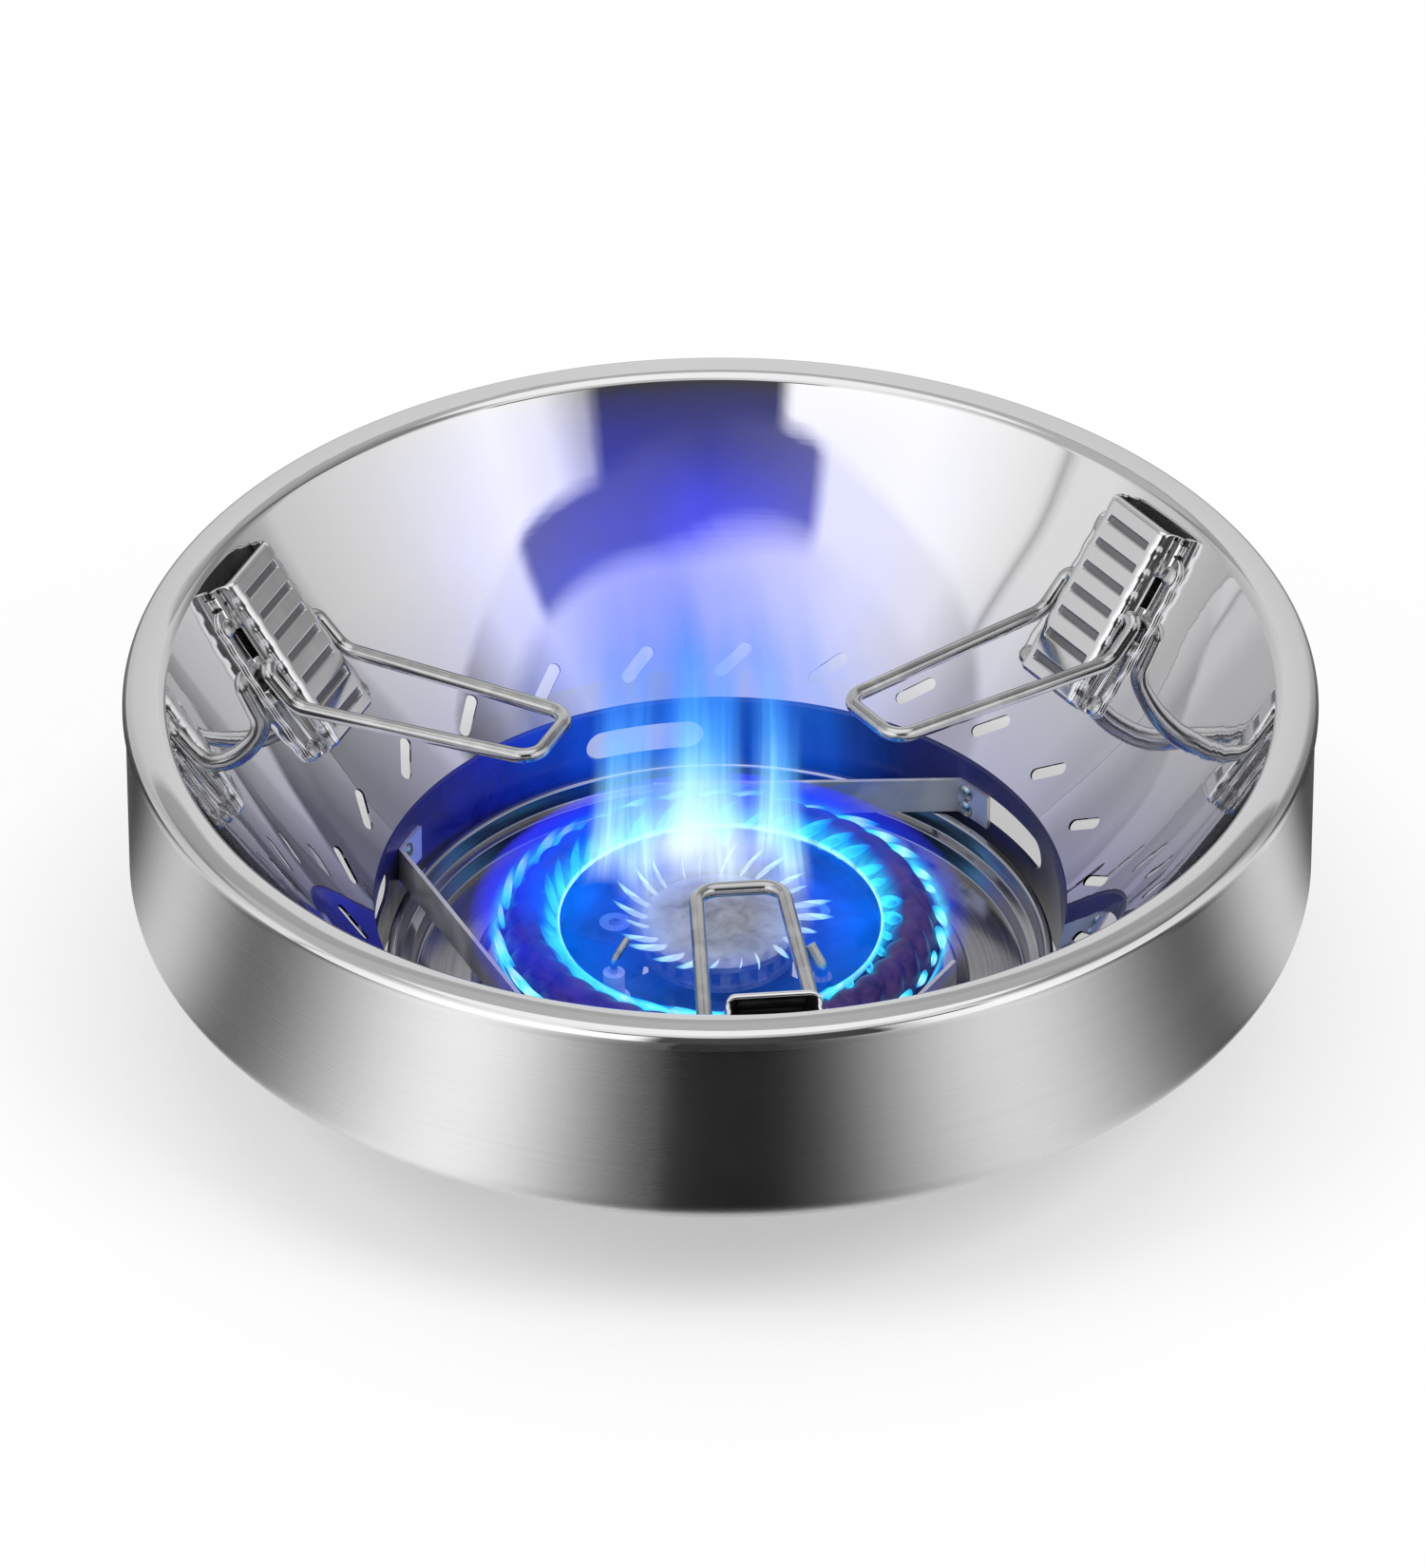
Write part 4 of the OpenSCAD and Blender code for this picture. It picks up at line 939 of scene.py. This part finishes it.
floor_paint, tree, put = blank("floor_paint")
ray = shade(tree, "LightPath").outputs
seen = calc(tree, "MAXIMUM", calc(tree, "MAXIMUM", ray["Is Camera Ray"], ray["Is Glossy Ray"]),
            ray["Is Transmission Ray"])
spot = shade(tree, "TexCoord").outputs["Object"]
out_from = shade(tree, "VectorMath", {0: spot}, operation="LENGTH").outputs["Value"]
open_floor = shade(tree, "MapRange", {"Value": out_from, "From Min": 0.12, "From Max": 0.18,
                                      "To Min": 0.45, "To Max": 0.93}).outputs[0]
matt = shade(tree, "BsdfDiffuse", {"Color": (0.86, 0.86, 0.86, 1)}).outputs[0]
white = shade(tree, "Emission", {"Color": (1, 1, 1, 1), "Strength": 1.0}).outputs[0]
share = calc(tree, "MULTIPLY", seen, open_floor)
tree.links.new(shade(tree, "MixShader", {0: share, 1: matt, 2: white}).outputs[0], put)
FLOOR_REACH = 30000
corners = [(x * FLOOR_REACH, y * FLOOR_REACH, 0) for x, y in ((-1, -1), (1, -1), (1, 1), (-1, 1))]
floor = make_piece("floor", corners, None, [(0, 1, 2, 3)], floor_paint)

tent_cloth, tree, put = blank("tent_cloth")
where = shade(tree, "SeparateXYZ", {0: shade(tree, "TexCoord").outputs["Object"]}).outputs
turn = calc(tree, "ARCTAN2", where["X"], calc(tree, "MULTIPLY", where["Y"], -1.0))
both = calc(tree, "MULTIPLY_ADD", turn, 1 / math.tau, 0.5)
plan = shade(tree, "CombineXYZ", {"X": where["X"], "Y": where["Y"]}).outputs[0]
plan = shade(tree, "VectorMath", {0: plan}, operation="LENGTH").outputs["Value"]
rise = calc(tree, "DIVIDE", calc(tree, "ARCTAN2", where["Z"], plan), math.pi / 2)


def by_turn(*stops):
    """Ramp stops from light levels at turns round the tent, in degrees from its front."""
    return [(0.5 + degrees / 360, level) for degrees, level in stops]


low = ramp(tree, both, by_turn(
    (-180, 0.4), (-112, 0.03), (-92, 0.54), (-73, 0.1), (-36, 0.83), (-8, 0.07), (-7.4, 0.005), (8, 0.005),
    (9, 0.025), (41, 0.65), (74, 0.05), (96, 0.62), (112, 0.03), (180, 0.4)), smooth=True)
high = ramp(tree, both, by_turn(
    (-180, 0.6), (-122, 0.4), (-112, 0.5), (-96, 0.55), (-86, 0.7), (-78, 0.7), (-76, 0.4), (-74, 0.75),
    (-48, 1.0), (-16, 1.0), (-12, 0.03), (26, 0.02), (28, 0.4), (36, 0.85), (50, 0.95), (78, 0.7),
    (103, 0.55), (106, 0.4), (122, 0.2), (130, 0.2), (150, 0.5), (180, 0.6)))
crest = ramp(tree, both, by_turn(
    (-180, 0.35), (-122, 0.2), (-97, 0.45), (-82, 0.4), (-60, 0.8), (-28, 0.85), (-23, 0.1), (4, 0.03),
    (50, 0.1), (54, 0.8), (66, 0.75), (86, 0.25), (96, 0.1), (122, 0.1), (180, 0.35)))
over = ramp(tree, both, by_turn(
    (-180, 0.4), (-84, 0.4), (-60, 0.7), (-40, 0.8), (0, 0.6), (14, 0.45), (30, 0.5), (52, 0.7), (72, 0.3),
    (90, 0.15), (180, 0.4)))
level = mixed(tree, ramp(tree, rise, [(0.03, 0.0), (0.07, 1.0)]), low, high)
level = mixed(tree, ramp(tree, rise, [(0.445, 0.0), (0.465, 1.0)]), level, crest)
level = mixed(tree, ramp(tree, rise, [(0.525, 0.0), (0.55, 1.0)]), level, over)
level = mixed(tree, ramp(tree, rise, [(0.70, 0.0), (0.76, 1.0)]), level, (0.85, 0.85, 0.85, 1))
tree.links.new(shade(tree, "Emission", {"Color": level, "Strength": 1.4}).outputs[0], put)
TENT_IN, TENT_R, TENT_TALL, TENT_LOW, TENT_STEPS = 137, 935, 1400, 0.4, 180
tent_line = [Vector((r, TENT_LOW)) for r in span(TENT_IN, TENT_R, 31)]
for a in span(math.pi / 48, math.pi / 2, 24):
    tent_line.append(Vector((TENT_R * math.cos(a), TENT_LOW + TENT_TALL * math.sin(a))))
tent_path = [(spot, Vector((0, 1))) for spot in tent_line]
tent = make_piece("studio_tent", *turned(tent_path, TENT_STEPS, False), tent_cloth)
for flag in ("visible_camera", "visible_diffuse", "visible_shadow", "visible_transmission"):
    setattr(tent, flag, False)

scene.world = bpy.data.worlds.new("studio")
scene.world.use_nodes = True
sky = scene.world.node_tree.nodes["Background"].inputs
sky["Color"].default_value = (1, 1, 1, 1)
sky["Strength"].default_value = 0.6


def lamp(name, kind, power, place, size, aim=None, colour=(1, 1, 1)):
    """Lamp that the polished metal does not mirror."""
    light = bpy.data.lights.new(name, kind)
    light.energy, light.color = power, colour
    setattr(light, "size" if kind == "AREA" else "shadow_soft_size", size)
    made = bpy.data.objects.new(name, light)
    scene.collection.objects.link(made)
    made.location = place
    made.visible_glossy = False
    if aim:
        made.rotation_mode = "QUATERNION"
        made.rotation_quaternion = (Vector(aim) - Vector(place)).to_track_quat("-Z", "Y")
    return made


drum_heart = (0, 0, 0.05)
lamp("key_lamp", "AREA", 38, (1.6, -1.2, 2.2), 1.2, drum_heart)
lamp("fill_lamp", "AREA", 26, (-1.8, -0.8, 1.9), 1.2, drum_heart)
gas_light = lamp("gas_light", "POINT", 0.35, (-0.024, 0.05, 0.03), 0.012, None, (0.02, 0.1, 1.0))
near_gas = bpy.data.collections.new("near_gas")
lit_nodes = ["lower_collar", "burner_base", "inner_head", "inner_cap"]
lit_nodes += [f"centring_strap_{k}" for k in (1, 2, 3)]
for piece in [tray, crown] + [nodes[name] for name in lit_nodes]:
    near_gas.objects.link(piece)
gas_light.light_linking.receiver_collection = near_gas


# Camera: at the photograph's viewing angle, with a long lens, and aimed so that the drum
# sits where it does in the photograph.
FRAME_H, FOCAL_PX, SENSOR = 1650, 14970, 36
AIM_ASIDE, AIM_UP = -0.000554, 0.00652
tilt, away, aim_spot = math.radians(35.62), 3.24, Vector((0, 0, 0.032))
ahead, up = Vector((0, math.cos(tilt), -math.sin(tilt))), Vector((0, math.sin(tilt), math.cos(tilt)))
camera = bpy.data.objects.new("camera", bpy.data.cameras.new("camera"))
scene.collection.objects.link(camera)
camera.data.lens = SENSOR * FOCAL_PX / FRAME_H
camera.data.clip_end = 100
camera.location = aim_spot - ahead * away
camera.rotation_mode = "QUATERNION"
camera.rotation_quaternion = (ahead + Vector((AIM_ASIDE, 0, 0)) + up * AIM_UP).to_track_quat("-Z", "Y")
scene.camera = camera
scene.view_settings.view_transform = "Standard"
